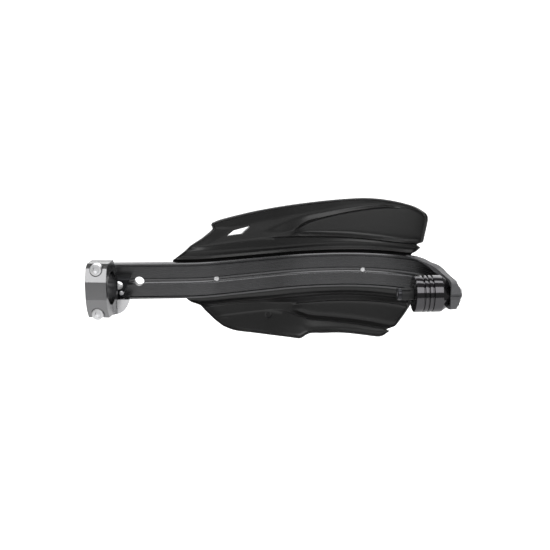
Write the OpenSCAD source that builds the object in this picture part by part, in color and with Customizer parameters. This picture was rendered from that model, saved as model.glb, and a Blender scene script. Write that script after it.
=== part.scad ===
// Motorcycle hand guard: bent alloy backbone, moulded shield, bar end weight and handlebar clamp.
// X runs outward along the handlebar end, Y forward and away from the rider, Z up.
// The origin is the centre of the weight's inner face, on the handlebar end's axis.

/* [Backbone] */
// Height of the extrusion
bar_h = 33; // [30:0.5:36]
// Thickness of the extrusion
bar_t = 8; // [6:0.5:9]
// Width of the recessed channel along the middle of the rear face
channel_w = 5.8; // [4:0.2:8]
// Depth of that channel
channel_deep = 1.6; // [0.8:0.1:2.4]
// Width of the two grooves near the long edges
edge_groove_w = 2.2; // [1.4:0.2:3]
// Depth of those grooves
edge_groove_deep = 1.3; // [0.6:0.1:2]
// Width of the lip outside each groove
edge_lip = 1.6; // [1:0.1:3]
// Chamfer along the front edges
bar_chamfer = 1.5; // [0.5:0.1:2]
// Height of the narrowed end tab
tab_h = 16; // [14:0.5:20]
// Radius of the tight bend beside the bar end
end_bend_r = 48; // [40:1:60]
// Turn of the tight bend in degrees
end_bend_a = 55; // [50:1:60]
// Radius of the shoulder bend
shoulder_r = 100; // [90:1:120]
// Radius of the crown, the flattest bend
crown_r = 170; // [150:1:200]
// Angle of the straight reach, back towards the clamp
reach_a = 21; // [16:1:24]
// Length of the straight reach
reach_l = 61; // [50:1:75]
// Radius of the bend back to the handlebar's direction
root_bend_r = 80; // [60:1:100]
// Length of the straight root, up to the clamp
root_l = 82; // [70:1:90]
// Length of the end tab, from the nose's end to the tight bend
tab_l = 53; // [45:1:60]
// Diameter of the spare hole in the root
spare_hole_d = 8.5; // [6:0.5:10]

/* [Bar end weight] */
// Diameter of the weight
weight_d = 31.4; // [28:0.2:34]
// Length of the weight
weight_l = 29; // [25:0.5:35]
// Length of the conical outer end
weight_cone_l = 6.2; // [4:0.2:8]
// Diameter at the small end of the cone
weight_cone_d = 22.8; // [20:0.2:26]
// Number of turned grooves
weight_grooves = 3; // [2:1:4]
// Distance from the inner face to the first groove
weight_groove_at = 7; // [5:0.5:8]
// Distance between grooves
weight_groove_pitch = 3.9; // [3:0.1:4.5]
// Width of a groove
weight_groove_w = 1.4; // [0.8:0.1:2]
// Depth of a groove
weight_groove_deep = 1.3; // [0.6:0.1:2]

/* [Expander] */
// Diameter of the expanding sleeve
sleeve_d = 10.4; // [10:0.1:12]
// Length of the sleeve
sleeve_l = 10.5; // [9:0.5:14]
// Width of the slots in the sleeve
sleeve_slot = 1; // [0.6:0.1:1.4]
// Length of the cone nut's straight head
cone_head_l = 3.4; // [2:0.1:4]
// Length of the cone that enters the sleeve
cone_l = 4; // [3:0.5:5]

/* [Shield] */
// Wall of the moulded shield
shield_t = 2.8; // [2:0.1:3.5]
// Lean of the wings back towards the rider
wing_lean = 0.0022; // [0.001:0.0002:0.003]
// Height of the ribs that fan out over the wings
rib_h = 1.4; // [0.6:0.1:2]
// Depth of the panels between the ribs
panel_deep = 1.6; // [0.6:0.1:2]
// Slope of the border along the wings' edges
border_lean = 0.17; // [0:0.01:0.25]
// Height of the rim bead
rim_h = 0.9; // [0.4:0.1:1.4]
// Width of the rim bead
rim_w = 2.4; // [1.5:0.1:3]
// Distance along the backbone from the nose's end to the outer shield screw
screw_outer_s = 140; // [135:1:150]
// Distance along the backbone to the inner shield screw
screw_inner_s = 284; // [275:1:290]
// Diameter of the shield screws
shield_screw_d = 5; // [4:0.5:6]

/* [End guard] */
// Wall of the end guard in front of the backbone
guard_t = 3.2; // [2.5:0.1:4]
// Thickness of its flanges at the end tab
guard_flange = 4.7; // [4:0.1:5.4]
// Thickness of its flanges at the full height of the backbone
guard_lip = 0.9; // [0.8:0.1:1.4]
// Wall of the nose past the tab's end
nose_wall = 3; // [2.5:0.1:4]
// Width of the nick in the nose's rear edge
nick_w = 5.6; // [4:0.2:7]

/* [Handlebar clamp] */
// Diameter of the handlebar in the clamp
tube_d = 28.6; // [28:0.1:29]
// Length of the clamp along the handlebar
clamp_l = 18; // [16:0.5:22]
// Full height of the clamp
clamp_h = 46.4; // [45:0.2:50]
// Wall in front of and behind the handlebar
clamp_wall = 4.3; // [4:0.1:6]
// Turn of the clamp's axis in plan
clamp_yaw = 7; // [4:0.5:9]
// Gap between the clamp's halves
clamp_gap = 0.8; // [0.4:0.1:1.6]
// Distance between the two clamp bolts
bolt_pitch = 38.4; // [38:0.2:40]
// Diameter of the clamp bolts
bolt_d = 6; // [5:0.5:6]
// Centre of the clamp along X
clamp_x = -265.5; // [-268:0.5:-264]
// Centre of the clamp along Y
clamp_y = 21.5; // [20:0.5:22]
// Centre of the clamp along Z
clamp_z = 3.3; // [2:0.1:4]

/* [Swivel link] */
// Diameter of the swivel bolt
pivot_d = 6; // [5:0.5:7]
// Distance from the swivel axis to the backbone's rear face
pivot_back = 8; // [7.6:0.1:8.5]
// Top of the link above the backbone's centre line
link_top = 6.2; // [5:0.2:8]
// Bottom of the link below that line
link_bottom = 11.6; // [11:0.2:13]
// Thickness of the link's block, in front of the backbone
link_t = 11; // [10:0.5:12]
// Diameter of the spare hole in the link
link_hole_d = 7.4; // [6:0.2:8]

/* [Hidden] */
$fn = 72;

// Clearances: parts that sit still on each other, a turning pin, a turning face, a clearance hole
seat_gap = 0.3;
pin_gap = 0.05;
face_gap = 0.1;
hole_gap = 0.5;
eps = 0.01;
// How far a cutter reaches past what it cuts
over = 30;

// The backbone's path, traced along its rear face from the nose's end to the root.
// Each stretch is [length, 0] or [radius, turn].
shoulder_a = 90 - end_bend_a;
PATH = [[tab_l, 0], [end_bend_r, end_bend_a], [shoulder_r, shoulder_a], [crown_r, reach_a],
        [reach_l, 0], [root_bend_r, -reach_a], [root_l, 0]];
nose_y = -14;
path_start = [weight_l, nose_y, 90];

// A place on the path is [x, y, heading]
function stretch_l(g) = g[1] == 0 ? g[0] : g[0] * abs(g[1]) * PI / 180;
function turn_centre(p, g) = [p[0] - sign(g[1]) * g[0] * sin(p[2]), p[1] + sign(g[1]) * g[0] * cos(p[2])];
function turned(p, g, a) = let (c = turn_centre(p, g), h = p[2] + a)
    [c[0] + sign(g[1]) * g[0] * sin(h), c[1] - sign(g[1]) * g[0] * cos(h), h];
function along(p, g, d) = g[1] == 0 ? [p[0] + d * cos(p[2]), p[1] + d * sin(p[2]), p[2]]
    : turned(p, g, g[1] * d / stretch_l(g));
function start_of(k) = k == 0 ? path_start : along(start_of(k - 1), PATH[k - 1], stretch_l(PATH[k - 1]));
function place(s, k = 0) = k == len(PATH) - 1 || s <= stretch_l(PATH[k])
    ? along(start_of(k), PATH[k], s) : place(s - stretch_l(PATH[k]), k + 1);
// Point at distance s along the path, u outward from the rear face, at height z
function at(s, u, z) = let (p = place(s)) [p[0] + u * sin(p[2]), p[1] - u * cos(p[2]), z];

path_end = start_of(len(PATH));

// Places the children at distance s, with +X outward from the rear face and +Y back along the path
module on_bar(s, z = 0) {
    p = place(s);
    translate([p[0], p[1], z]) rotate([0, 0, p[2] - 90]) children();
}

// Extrudes a section along Y; the section's x stays X and its y turns up to Z
module along_y(l) {
    translate([0, l, 0]) rotate([90, 0, 0]) linear_extrude(l) children();
}

// Extrudes a section along X; the section's x turns to Y and its y turns up to Z
module along_x(l) {
    rotate([90, 0, 90]) linear_extrude(l) children();
}

// Joins closed rings of points into one solid; each ring pairs its first half with its second at the ends
module loft(rings) {
    n = len(rings);
    m = len(rings[0]);
    points = [for (r = rings) for (p = r) p];
    sides = [for (i = [0:n - 2]) for (j = [0:m - 1])
        let (a = i * m + j, b = i * m + (j + 1) % m)
        each [[a, b, b + m], [a, b + m, a + m]]];
    caps = [for (e = [0, n - 1]) for (j = [0:m / 2 - 2])
        let (a = e * m + j, b = a + 1, c = e * m + m - 2 - j, d = c + 1)
        each e == 0 ? [[a, d, c], [a, c, b]] : [[a, c, d], [a, b, c]]];
    polyhedron(points, concat(sides, caps), convexity = 10);
}

// Smooth curve through [s, z] points that run in rising s
function tangent(p, i) = let (a = max(i - 1, 0), b = min(i + 1, len(p) - 1))
    (p[b][1] - p[a][1]) / (p[b][0] - p[a][0]);
function span_of(p, s, i = 0) = i >= len(p) - 2 || s < p[i + 1][0] ? i : span_of(p, s, i + 1);
function curve(p, s) = let (i = span_of(p, s), w = p[i + 1][0] - p[i][0], t = (s - p[i][0]) / w)
    p[i][1] * (1 + 2 * t) * (1 - t) * (1 - t) + tangent(p, i) * w * t * (1 - t) * (1 - t)
    + p[i + 1][1] * t * t * (3 - 2 * t) + tangent(p, i + 1) * w * t * t * (t - 1);
function ease(t) = let (c = max(0, min(1, t))) c * c * (3 - 2 * c);

// The backbone

// Half the backbone's height at a point p; it tapers along Y down to the end tab
taper_s = 62;
taper_y0 = place(taper_s)[1];
taper_y1 = start_of(2)[1];
function half_h(p) = p[0] < 0 ? bar_h / 2
    : (tab_h + (bar_h - tab_h) * max(0, min(1, (p[1] - taper_y0) / (taper_y1 - taper_y0)))) / 2;

// Distances along the path at which the backbone is modelled: one at each joint of the stretches,
// and one for each small turn in a bend
bend_step = 3;
function steps_of(g) = g[1] == 0 ? 1 : ceil(abs(g[1]) / bend_step);
function start_s(k) = k == 0 ? 0 : start_s(k - 1) + stretch_l(PATH[k - 1]);
root_end_s = start_s(len(PATH));
bend_end_s = start_s(2);
INNER_S = [for (k = [1:len(PATH) - 1]) for (i = [0:steps_of(PATH[k]) - 1])
    start_s(k) + stretch_l(PATH[k]) * i / steps_of(PATH[k])];

// A ring from the upper half of a section, listed from the rear to the front
function mirrored(half) = concat([for (p = half) [p[0], p[1], -p[2]]],
                                 [for (i = [len(half) - 1:-1:0]) half[i]]);
// A point u outward and z above the backbone's upper edge
function edge_pt(s, u, z) = let (p = at(s, u, 0)) [p[0], p[1], half_h(p) + z];
function bar_ring(s) = mirrored([edge_pt(s, 0, 0), edge_pt(s, bar_t - bar_chamfer, 0),
                                 edge_pt(s, bar_t, -bar_chamfer)]);

// A groove deep into the rear face, along the whole backbone, from z0 to z1
module rear_groove(z0, z1, deep) {
    run = concat([-over], INNER_S, [root_end_s + over]);
    translate([0, 0, z0]) linear_extrude(z1 - z0)
        polygon(concat([for (s = run) let (p = at(s, -1, 0)) [p[0], p[1]]],
                       [for (i = [len(run) - 1:-1:0]) let (p = at(run[i], deep, 0)) [p[0], p[1]]]));
}

// Keeps a half-round end on the root
module root_round() {
    r = bar_h / 2;
    translate([path_end[0] + r, path_end[1] - over / 2, 0])
        along_y(over) difference() {
            translate([-over, -over]) square([over, 2 * over]);
            circle(r);
        }
}

// Drills along Y through the root at x, z
module drill_root(x, z, d) {
    translate([x, path_end[1] - over, z]) along_y(2 * over) circle(d = d);
}

module backbone_bar() {
    color([0.13, 0.13, 0.14])
    difference() {
        loft([for (s = concat([nose_wall], INNER_S, [root_end_s])) bar_ring(s)]);
        rear_groove(-channel_w / 2, channel_w / 2, channel_deep);
        for (side = [-1, 1])
            let (z = side * (bar_h / 2 - edge_lip - edge_groove_w / 2))
                rear_groove(z - edge_groove_w / 2, z + edge_groove_w / 2, edge_groove_deep);
        root_round();
        translate([weight_l - eps, 0, 0]) along_x(over) circle(d = end_bolt_d + hole_gap);
        for (s = [screw_outer_s, screw_inner_s])
            on_bar(s) translate([-over / 2, 0, 0]) along_x(over) circle(d = shield_screw_d + 2 * pin_gap);
        drill_root(spare_hole_x, 0, spare_hole_d);
        drill_root(link_hole_x, link_hole_z, link_hole_d);
        for (p = LINK_SCREWS) drill_root(p[0], p[1], link_screw_d + hole_gap);
    }
}

// The bar end

end_bolt_d = 6;
end_head_d = 10.5;
end_head_l = 3;
washer_t = 1;
end_washer_d = 12.4;
tab_out_x = weight_l + bar_t;
sleeve_bore_d = end_bolt_d + 2 * hole_gap;
sleeve_lip = 0.6;
cone_d = sleeve_d - 2 * sleeve_lip;
cone_tip_d = sleeve_bore_d + 2 * hole_gap - 2 * face_gap;
cone_end_x = -sleeve_l - cone_head_l;

module bar_end_weight() {
    color([0.07, 0.07, 0.08])
    rotate([0, 90, 0])
    rotate_extrude(convexity = 6) difference() {
        polygon([[(end_bolt_d + hole_gap) / 2, 0], [weight_d / 2 - 0.6, 0], [weight_d / 2, 0.6],
                 [weight_d / 2, weight_l - weight_cone_l], [weight_cone_d / 2, weight_l],
                 [(end_bolt_d + hole_gap) / 2, weight_l]]);
        for (i = [0:weight_grooves - 1])
            translate([weight_d / 2, weight_groove_at + i * weight_groove_pitch])
                polygon([[eps, -weight_groove_w / 2], [-weight_groove_deep, -weight_groove_w / 4],
                         [-weight_groove_deep, weight_groove_w / 4], [eps, weight_groove_w / 2]]);
    }
}

module expander_sleeve() {
    color([0.1, 0.1, 0.1])
    rotate([0, -90, 0])
    difference() {
        rotate_extrude()
            polygon([[sleeve_bore_d / 2, 0], [sleeve_d / 2, 0], [sleeve_d / 2, sleeve_l],
                     [cone_d / 2 + face_gap, sleeve_l],
                     [cone_tip_d / 2 + face_gap, sleeve_l - cone_l],
                     [sleeve_bore_d / 2, sleeve_l - cone_l]]);
        for (a = [45, 135])
            rotate([0, 0, a]) translate([-over, -sleeve_slot / 2, sleeve_l / 3])
                cube([2 * over, sleeve_slot, sleeve_l]);
    }
}

module expander_cone() {
    color([0.55, 0.55, 0.57])
    rotate([0, -90, 0])
    rotate_extrude()
        polygon([[end_bolt_d / 2 + pin_gap, sleeve_l - cone_l], [cone_tip_d / 2, sleeve_l - cone_l],
                 [cone_d / 2, sleeve_l], [sleeve_d / 2, sleeve_l], [sleeve_d / 2, -cone_end_x],
                 [end_bolt_d / 2 + pin_gap, -cone_end_x]]);
}

// A screw along +Z: shank from 0 to l, head below 0, hexagon socket in the head
module socket_screw(d, l, head_d, head_l, key, tip = 0.6) {
    difference() {
        union() {
            cylinder(d = d, h = l - tip);
            translate([0, 0, l - tip]) cylinder(d1 = d, d2 = d - 2 * tip, h = tip);
            translate([0, 0, -head_l]) cylinder(d = head_d, h = head_l);
        }
        translate([0, 0, -head_l - eps]) cylinder(d = key / cos(30), h = head_l * 0.6, $fn = 6);
    }
}

module bar_end_bolt() {
    color([0.7, 0.71, 0.73])
    translate([tab_out_x + washer_t, 0, 0]) rotate([0, -90, 0])
        socket_screw(end_bolt_d, tab_out_x + washer_t - cone_end_x + 1, end_head_d, end_head_l, 4);
}

module washer(d, bore, t) {
    difference() {
        cylinder(d = d, h = t);
        translate([0, 0, -eps]) cylinder(d = bore, h = t + 2 * eps);
    }
}

module bar_end_washer() {
    color([0.7, 0.71, 0.73])
    translate([tab_out_x, 0, 0]) rotate([0, 90, 0]) washer(end_washer_d, end_bolt_d + hole_gap, washer_t);
}

// The shield

// Rear face of the shield's middle band, outward from the backbone's rear face
band_u = bar_t + seat_gap;
// The band's half height, from which the wings lean back
band_h = 16.9;

// The fanned ribs fade towards the clamp, and the upper one fades towards the bar end too
fan_full = 212;
fan_none = 236;
run_none = 100;
run_full = 125;
// The recessed panels taper to a point between the ribs
point_from = 195;
point_to = 208;
function mix(a, b, t) = a + (b - a) * t;
function fan(s) = 1 - ease((s - fan_full) / (fan_none - fan_full));
function run(s) = ease((s - run_none) / (run_full - run_none));
function pointed(s, deep) = mix(deep, -rib_h * fan(s), ease((s - point_from) / (point_to - point_from)));

// Each rail is [kind, points]; its points run from the outer end to the inner end as [s, z].
EDGE = 0; GROOVE = 1; CREASE = 2; SLOPE = 3; CREST = 4; PANEL = 5; FAN = 6; LOW = 7; LINE = 8;
RIB = 9; BAND = 10; VALLEY = 11; STEP = 12;
RAILS = [
    [EDGE, [[83.8, 57.8], [88.6, 60.6], [95.5, 63.5], [114.7, 67.1], [133.5, 68.7], [152.3, 68.1],
            [190.6, 64.7], [227.4, 61.1], [247.7, 58.6], [277.3, 53.3], [284.4, 50.9]]],
    [GROOVE, [[82.3, 55.5], [86.8, 58.4], [95.5, 61.3], [114.7, 64.8], [133.5, 66.4], [152.3, 65.8],
              [190.6, 62.4], [227.4, 58.8], [247.7, 56.3], [277.3, 51], [286, 48.8]]],
    [CREASE, [[82, 54.2], [90, 58.4], [100, 61.3], [112, 63.2], [125, 64.3], [133, 64.1], [152, 62],
              [171.4, 59], [188.2, 56.3], [199.6, 54.5], [218.8, 52.2], [233.8, 50.4], [246.8, 48],
              [260, 46.6], [284.9, 46.8]]],
    [SLOPE, [[82, 52.6], [90, 57], [100, 60], [112, 62], [125, 62.9], [144, 60.6], [162, 57.5],
             [180.6, 54.6], [194.7, 52.5], [204.2, 50.3], [213.7, 47], [223.2, 43], [233.2, 41.5],
             [250, 42.8], [283.8, 45]]],
    [CREST, [[82.3, 50.8], [90, 55.4], [100, 58.7], [112, 60.8], [125.8, 60.6], [143.9, 57.8],
             [161.9, 54.3], [180.4, 50.2], [191.6, 48], [197.2, 45.4], [201.8, 42], [206.5, 39.4],
             [218, 38], [233.2, 38.8], [250, 40], [287.5, 42.2]]],
    [PANEL, [[82.9, 48.4], [90, 53.2], [100, 56.9], [112, 59.3], [125.8, 58.9], [143.9, 55.8],
             [161.8, 52.1], [180.3, 47.7], [189.6, 44.8], [196.1, 41.5], [201.7, 39.4], [206.5, 38.3],
             [218, 37], [233.2, 37.5], [250, 38.4], [291, 39.9]]],
    [PANEL, [[84.3, 43], [96, 47.5], [112, 50.5], [130, 50.3], [151, 48], [171, 44.6], [186, 41.4],
             [196, 39.2], [203, 38], [218, 36.3], [233, 36.5], [260, 37], [295.3, 37.1]]],
    [PANEL, [[85.9, 37], [100, 39.2], [120, 40.8], [151, 40.4], [180, 38.6], [196, 37.6], [206, 37],
             [218, 35.7], [233, 35.7], [260, 35.8], [299, 35.1]]],
    [PANEL, [[87, 31.6], [107.6, 31], [121.2, 31.8], [134.6, 33.1], [152.3, 34.7], [179.9, 36],
             [200, 36.2], [206.5, 36], [218, 35], [233, 34.9], [260, 34.6], [303, 33]]],
    [FAN, [[87.8, 29.3], [107.5, 27.9], [125.6, 28.7], [143.3, 29.9], [161.2, 31.2], [179.7, 32.2],
           [208, 33.5], [233, 33.9], [260, 33.3], [307.8, 30.4]]],
    [LOW, [[94.3, 26.7], [107, 26.2], [116.6, 26.5], [134.5, 27.6], [152.2, 28.7], [170.4, 29.7],
           [198.6, 31], [233.1, 32.1], [260, 31.4], [310.5, 28.2]]],
    [LINE, [[89.6, 24.3], [107.5, 24.6], [121, 25.2], [156.5, 25.7], [179.6, 24.7], [208, 23.5],
            [238, 23.8], [277.9, 25], [313.5, 25.8]]],
    [LOW, [[92.2, 21.3], [107.4, 21.4], [134.3, 21.8], [156.5, 21.7], [179.5, 21.4], [208, 20.9],
           [238, 20.5], [268, 20.5], [319.5, 21.1]]],
    [RIB, [[94.8, 18.7], [107.3, 18.6], [134.3, 18.8], [156.4, 18.7], [179.5, 18.5], [208, 18.3],
           [268, 18.3], [323, 18.4]]],
    [BAND, [[99, band_h], [325.5, band_h]]],
    [BAND, [[98.5, -band_h], [314.5, -band_h]]],
    [BAND, [[98, -20.5], [150, -20], [312, -19.9]]],
    [VALLEY, [[97.7, -23.4], [115.2, -23.4], [142.3, -22.8], [169.6, -22.8], [198.1, -23.2],
              [227.9, -23.4], [258.6, -22.6], [308, -22.3]]],
    [LINE, [[97.3, -25.6], [115, -25.6], [142.2, -24.9], [169.6, -24.9], [198, -25.6], [227.9, -25.7],
            [258, -24.5], [303, -23.9]]],
    [VALLEY, [[96.8, -28.1], [115, -28.1], [142.2, -27.3], [169.5, -27.3], [198.1, -28.1],
              [230, -27.8], [260, -26.3], [298.7, -25.6]]],
    [FAN, [[96.3, -32], [119.5, -31.3], [142.1, -31.2], [169.5, -31.4], [198.2, -32.1],
           [217.8, -31.2], [236, -29.4], [260, -28.1], [297.2, -27.4]]],
    [PANEL, [[97.5, -34.8], [119.4, -33.4], [142, -33.2], [169.5, -33.3], [198.2, -34], [208, -34],
             [218, -32.7], [236, -30.9], [260, -29.7], [295.6, -29.1]]],
    [PANEL, [[101.7, -43.2], [120, -42], [151, -40], [180, -38.2], [198, -36.2], [208, -35.2],
             [218, -33.8], [236, -32.2], [260, -31.2], [294, -30.8]]],
    [PANEL, [[106, -50.4], [113.6, -51], [123.1, -50.2], [141.6, -48.2], [160.1, -46], [179.1, -44.2],
             [190.6, -41.7], [203.2, -37.5], [215.9, -35], [236, -33.5], [260, -32.8], [292.2, -32.6]]],
    [STEP, [[108.5, -54.8], [119.1, -54.6], [132.3, -53], [150.8, -51], [169.6, -48.8],
            [188.8, -46], [198.4, -42], [208.1, -38.6], [219.8, -36], [236, -34.9], [260, -34.5],
            [290.3, -34.4]]],
    [FAN, [[114.8, -57.7], [119.9, -57.2], [132.2, -55.8], [150.8, -53.4], [169.6, -51],
           [188.8, -48.6], [198.5, -44.8], [208.2, -41], [220, -37.4], [236, -36.3], [260, -36.2],
           [288.5, -36.3]]],
    [LOW, [[117.5, -59.1], [132.1, -57.8], [150.8, -55.3], [169.6, -52.9], [188.9, -50.5],
           [198.5, -47], [208.2, -43], [223, -39], [236, -38], [260, -38], [286.6, -38.2]]],
    [CREASE, [[115.4, -59.7], [125, -61.6], [132, -61.2], [150.8, -59.4], [169.7, -58.4],
              [189.1, -57], [198, -56], [208.8, -54], [234, -48.4], [259.4, -43.6], [276, -41.2],
              [284.5, -40.2]]],
    [GROOVE, [[113.5, -60.1], [118, -62.3], [123.3, -64.2], [139.9, -63.4], [159.2, -61.8],
              [178.9, -61.2], [189.3, -60.6], [194.5, -62.3], [199.2, -64.8], [206.8, -63.5],
              [227.5, -58.9], [248.2, -54], [266.5, -49.6], [279.5, -44.6]]],
    [EDGE, [[116.7, -62.8], [119.5, -65.2], [123.3, -66.5], [139.9, -65.6], [159.2, -64],
            [178.9, -63.4], [189.3, -62.8], [194.5, -64.5], [199.2, -67.2], [206.8, -65.8],
            [227.5, -61.1], [248.2, -56.2], [266.5, -51.8], [277, -46.7]]]];
// Number of stretches between the two ends of the shield
STATIONS = 60;

// How far a rail stands forward of the plain wing; a rib stands back towards the rider
function relief(kind, s) = kind == GROOVE ? rim_h / 3
    : kind == CREASE ? panel_deep / 2 * (1 - run(s))
    : kind == SLOPE ? panel_deep * (1 - run(s))
    : kind == CREST ? mix(panel_deep, -rib_h * fan(s), run(s))
    : kind == FAN ? -rib_h * fan(s)
    : kind == RIB ? -rib_h * 0.8
    : kind == PANEL ? pointed(s, panel_deep)
    : kind == STEP ? pointed(s, 2 * panel_deep)
    : kind == LOW ? rim_h / 3
    : kind == LINE ? -rim_h / 2
    : kind == VALLEY ? rim_h
    : 0;
// The border bends away from the rider above and towards the rider below
border_w = 9.7;
function border(z, d) = sign(z) * border_lean * max(0, border_w - d);
function border_of(z, s, end, top) = let (side = z > 0 ? 0.56 : 1,
        d = min(abs(top - z), side * (end - s))) border(z, d) * ease((s - 150) / 40);
function wing_u(z) = band_u - wing_lean * pow(max(abs(z) - band_h, 0), 2);
// Share of the way from the outer to the inner end, with one station at the rim's width from each
function share(i) = let (e = rim_w / 210)
    i == 0 ? 0 : i == STATIONS ? 1 : e + (1 - 2 * e) * (i - 1) / (STATIONS - 2);
// A point of the shield: station i, rail r, and how far in front of the rear face
function shield_pt(i, r, t) = let (p = RAILS[r][1], kind = RAILS[r][0],
        end = p[len(p) - 1][0], s = p[0][0] + (end - p[0][0]) * share(i), z = curve(p, s),
        edge = RAILS[z > 0 ? 0 : len(RAILS) - 1][1],
        rim = kind != BAND && (kind == EDGE || i == 0 || i == STATIONS))
    at(s, wing_u(z) + (rim ? -rim_h : relief(kind, s))
        + (abs(z) > 26 ? border_of(z, s, end, curve(edge, s)) : 0) + t, z);

// Outline of the vent, as [s, z]
VENT = [[273, 37.3], [270, 39.4], [265, 42], [258, 44.3], [250, 45.1], [252, 41.3], [257, 38.3],
        [266, 37.4]];
vent_s = 262;

module wing_shield() {
    color([0.09, 0.09, 0.09])
    difference() {
        loft([for (i = [0:STATIONS]) concat(
            [for (r = [0:len(RAILS) - 1]) shield_pt(i, r, 0)],
            [for (r = [len(RAILS) - 1:-1:0]) shield_pt(i, r, shield_t)])]);
        on_bar(vent_s) translate([-over / 2, 0, 0]) along_x(over)
            polygon([for (p = VENT) [p[0] - vent_s, p[1]]]);
        for (s = [screw_outer_s, screw_inner_s]) on_bar(s) {
            along_x(over) circle(d = shield_screw_d + hole_gap);
            translate([screw_seat_u, 0, 0]) along_x(over) circle(d = shield_washer_d + 2 * hole_gap);
        }
    }
}

// The shield's screws go in from the front, on flat seats, and end in the backbone's channel
shield_head_d = 9.5;
shield_head_l = 2.8;
shield_washer_d = 12;
screw_seat_deep = 0.6;
screw_seat_u = band_u + shield_t - screw_seat_deep;
shield_head_u = screw_seat_u + pin_gap + washer_t;
shield_tip_u = 0.6;

module shield_screw(s) {
    color([0.75, 0.76, 0.78])
    on_bar(s) translate([shield_head_u, 0, 0]) rotate([0, -90, 0])
        socket_screw(shield_screw_d, shield_head_u - shield_tip_u, shield_head_d, shield_head_l, 3);
}

module shield_washer(s) {
    color([0.75, 0.76, 0.78])
    on_bar(s) translate([shield_head_u - washer_t, 0, 0]) rotate([0, 90, 0])
        washer(shield_washer_d, shield_screw_d + hole_gap, washer_t);
}

module shield_screw_outer() { shield_screw(screw_outer_s); }
module shield_screw_inner() { shield_screw(screw_inner_s); }
module shield_washer_outer() { shield_washer(screw_outer_s); }
module shield_washer_inner() { shield_washer(screw_inner_s); }

// The end guard

guard_end_s = bend_end_s - 1;
guard_u = bar_t + guard_t;
// Flange outside the backbone's edge where the backbone is h high from its middle
function flange_at(h) = guard_flange + (guard_lip - guard_flange) * (h * 2 - tab_h) / (bar_h - tab_h);
// A point of the guard's outside, z measured from the backbone's edge; f scales in the flange
function guard_pt(s, u, f, z) = let (p = at(s, u, 0), h = half_h(p)) [p[0], p[1], h + f * flange_at(h) + z];
// The nose's outer face is peaked
nose_round = 9;
function guard_ring(s) = let (f = pow(max(0, 1 - s / nose_round), 2))
    mirrored([guard_pt(s, 0.3 * f, 1, -0.5 * f), guard_pt(s, 4 + 1.4 * f, 1, -0.5 * f),
              guard_pt(s, guard_u - 0.6 - 2.8 * f, 0, -1.2 * f),
              guard_pt(s, guard_u - 1.7 * f, 0, -2 - 5.4 * f)]);
function cavity_ring(s) =
    mirrored([edge_pt(s, -over / 4, seat_gap), edge_pt(s, 0, seat_gap),
              edge_pt(s, bar_t - bar_chamfer + seat_gap / 2, seat_gap),
              edge_pt(s, band_u, seat_gap / 2 - bar_chamfer)]);
cavity_s = nose_wall - seat_gap;
// The backbone's own stations up to a distance along the path
function stations_to(end) = [for (s = INNER_S) if (s < end) s];
recess_d = end_washer_d + 2 * hole_gap;

module end_guard() {
    color([0.2, 0.2, 0.2])
    difference() {
        loft([for (s = concat([0, 1, 2.4, 4, 6, nose_round], stations_to(guard_end_s), [guard_end_s]))
            guard_ring(s)]);
        loft([for (s = concat([cavity_s], stations_to(bend_end_s + over / 5))) cavity_ring(s)]);
        translate([weight_l, 0, 0]) along_x(over) circle(d = recess_d);
        translate([weight_l - over, nose_y, 0]) along_x(2 * over)
            polygon([[-nick_w / 2, 0], [0, -nick_w / 2], [nick_w / 2, 0], [0, nick_w / 2]]);
    }
}

// The handlebar clamp

// Places the children at the clamp's centre, with +X along the handlebar towards the bar end
module in_clamp() {
    translate([clamp_x, clamp_y, clamp_z]) rotate([0, 0, -clamp_yaw]) children();
}

clamp_reach = tube_d / 2 + clamp_wall;
clamp_top = clamp_h / 2;
bolt_seat = -10.5;
bolt_reach = 9;
bolt_head_d = 10;
bolt_head_l = 6;

module clamp_section(half) {
    difference() {
        polygon(half);
        circle(d = tube_d, $fn = 120);
    }
}

// The near half is faceted; the far half has broad chamfers
CAP = [[-clamp_gap / 2, clamp_top], [-10, clamp_top], [-clamp_reach + 2.5, clamp_top - 4], [-clamp_reach, 8],
       [-clamp_reach, -7], [-clamp_reach + 4, -18], [-10, -clamp_top], [-clamp_gap / 2, -clamp_top]];
FAR = [[clamp_gap / 2, clamp_top], [7.5, clamp_top], [clamp_reach - 2, 11.5], [clamp_reach, 4],
       [clamp_reach, -9], [clamp_reach - 4, -17], [8, -clamp_top], [clamp_gap / 2, -clamp_top]];

module clamp_bolt_holes(d) {
    for (z = [-1, 1])
        translate([0, -over, z * bolt_pitch / 2]) along_y(over + bolt_reach + 1) circle(d = d);
}

module clamp_cap() {
    color([0.1, 0.1, 0.11])
    in_clamp() difference() {
        translate([-clamp_l / 2, 0, 0]) along_x(clamp_l) clamp_section(CAP);
        clamp_bolt_holes(bolt_d + hole_gap);
        for (z = [-1, 1])
            translate([0, bolt_seat - over, z * bolt_pitch / 2])
                along_y(over) circle(d = bolt_head_d + 2 * hole_gap);
    }
}

// The lug under the link
pivot_x = -264;
pivot_y = path_end[1] - pivot_back;
lug_r = pivot_back - 2 * seat_gap;
lug_top = -link_bottom - face_gap;
lug_bottom = -24;
lug_side = 19.2;
lug_round = 12;
// Where the lug starts, inside the clamp's far wall
lug_root_y = clamp_y + 12;

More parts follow.
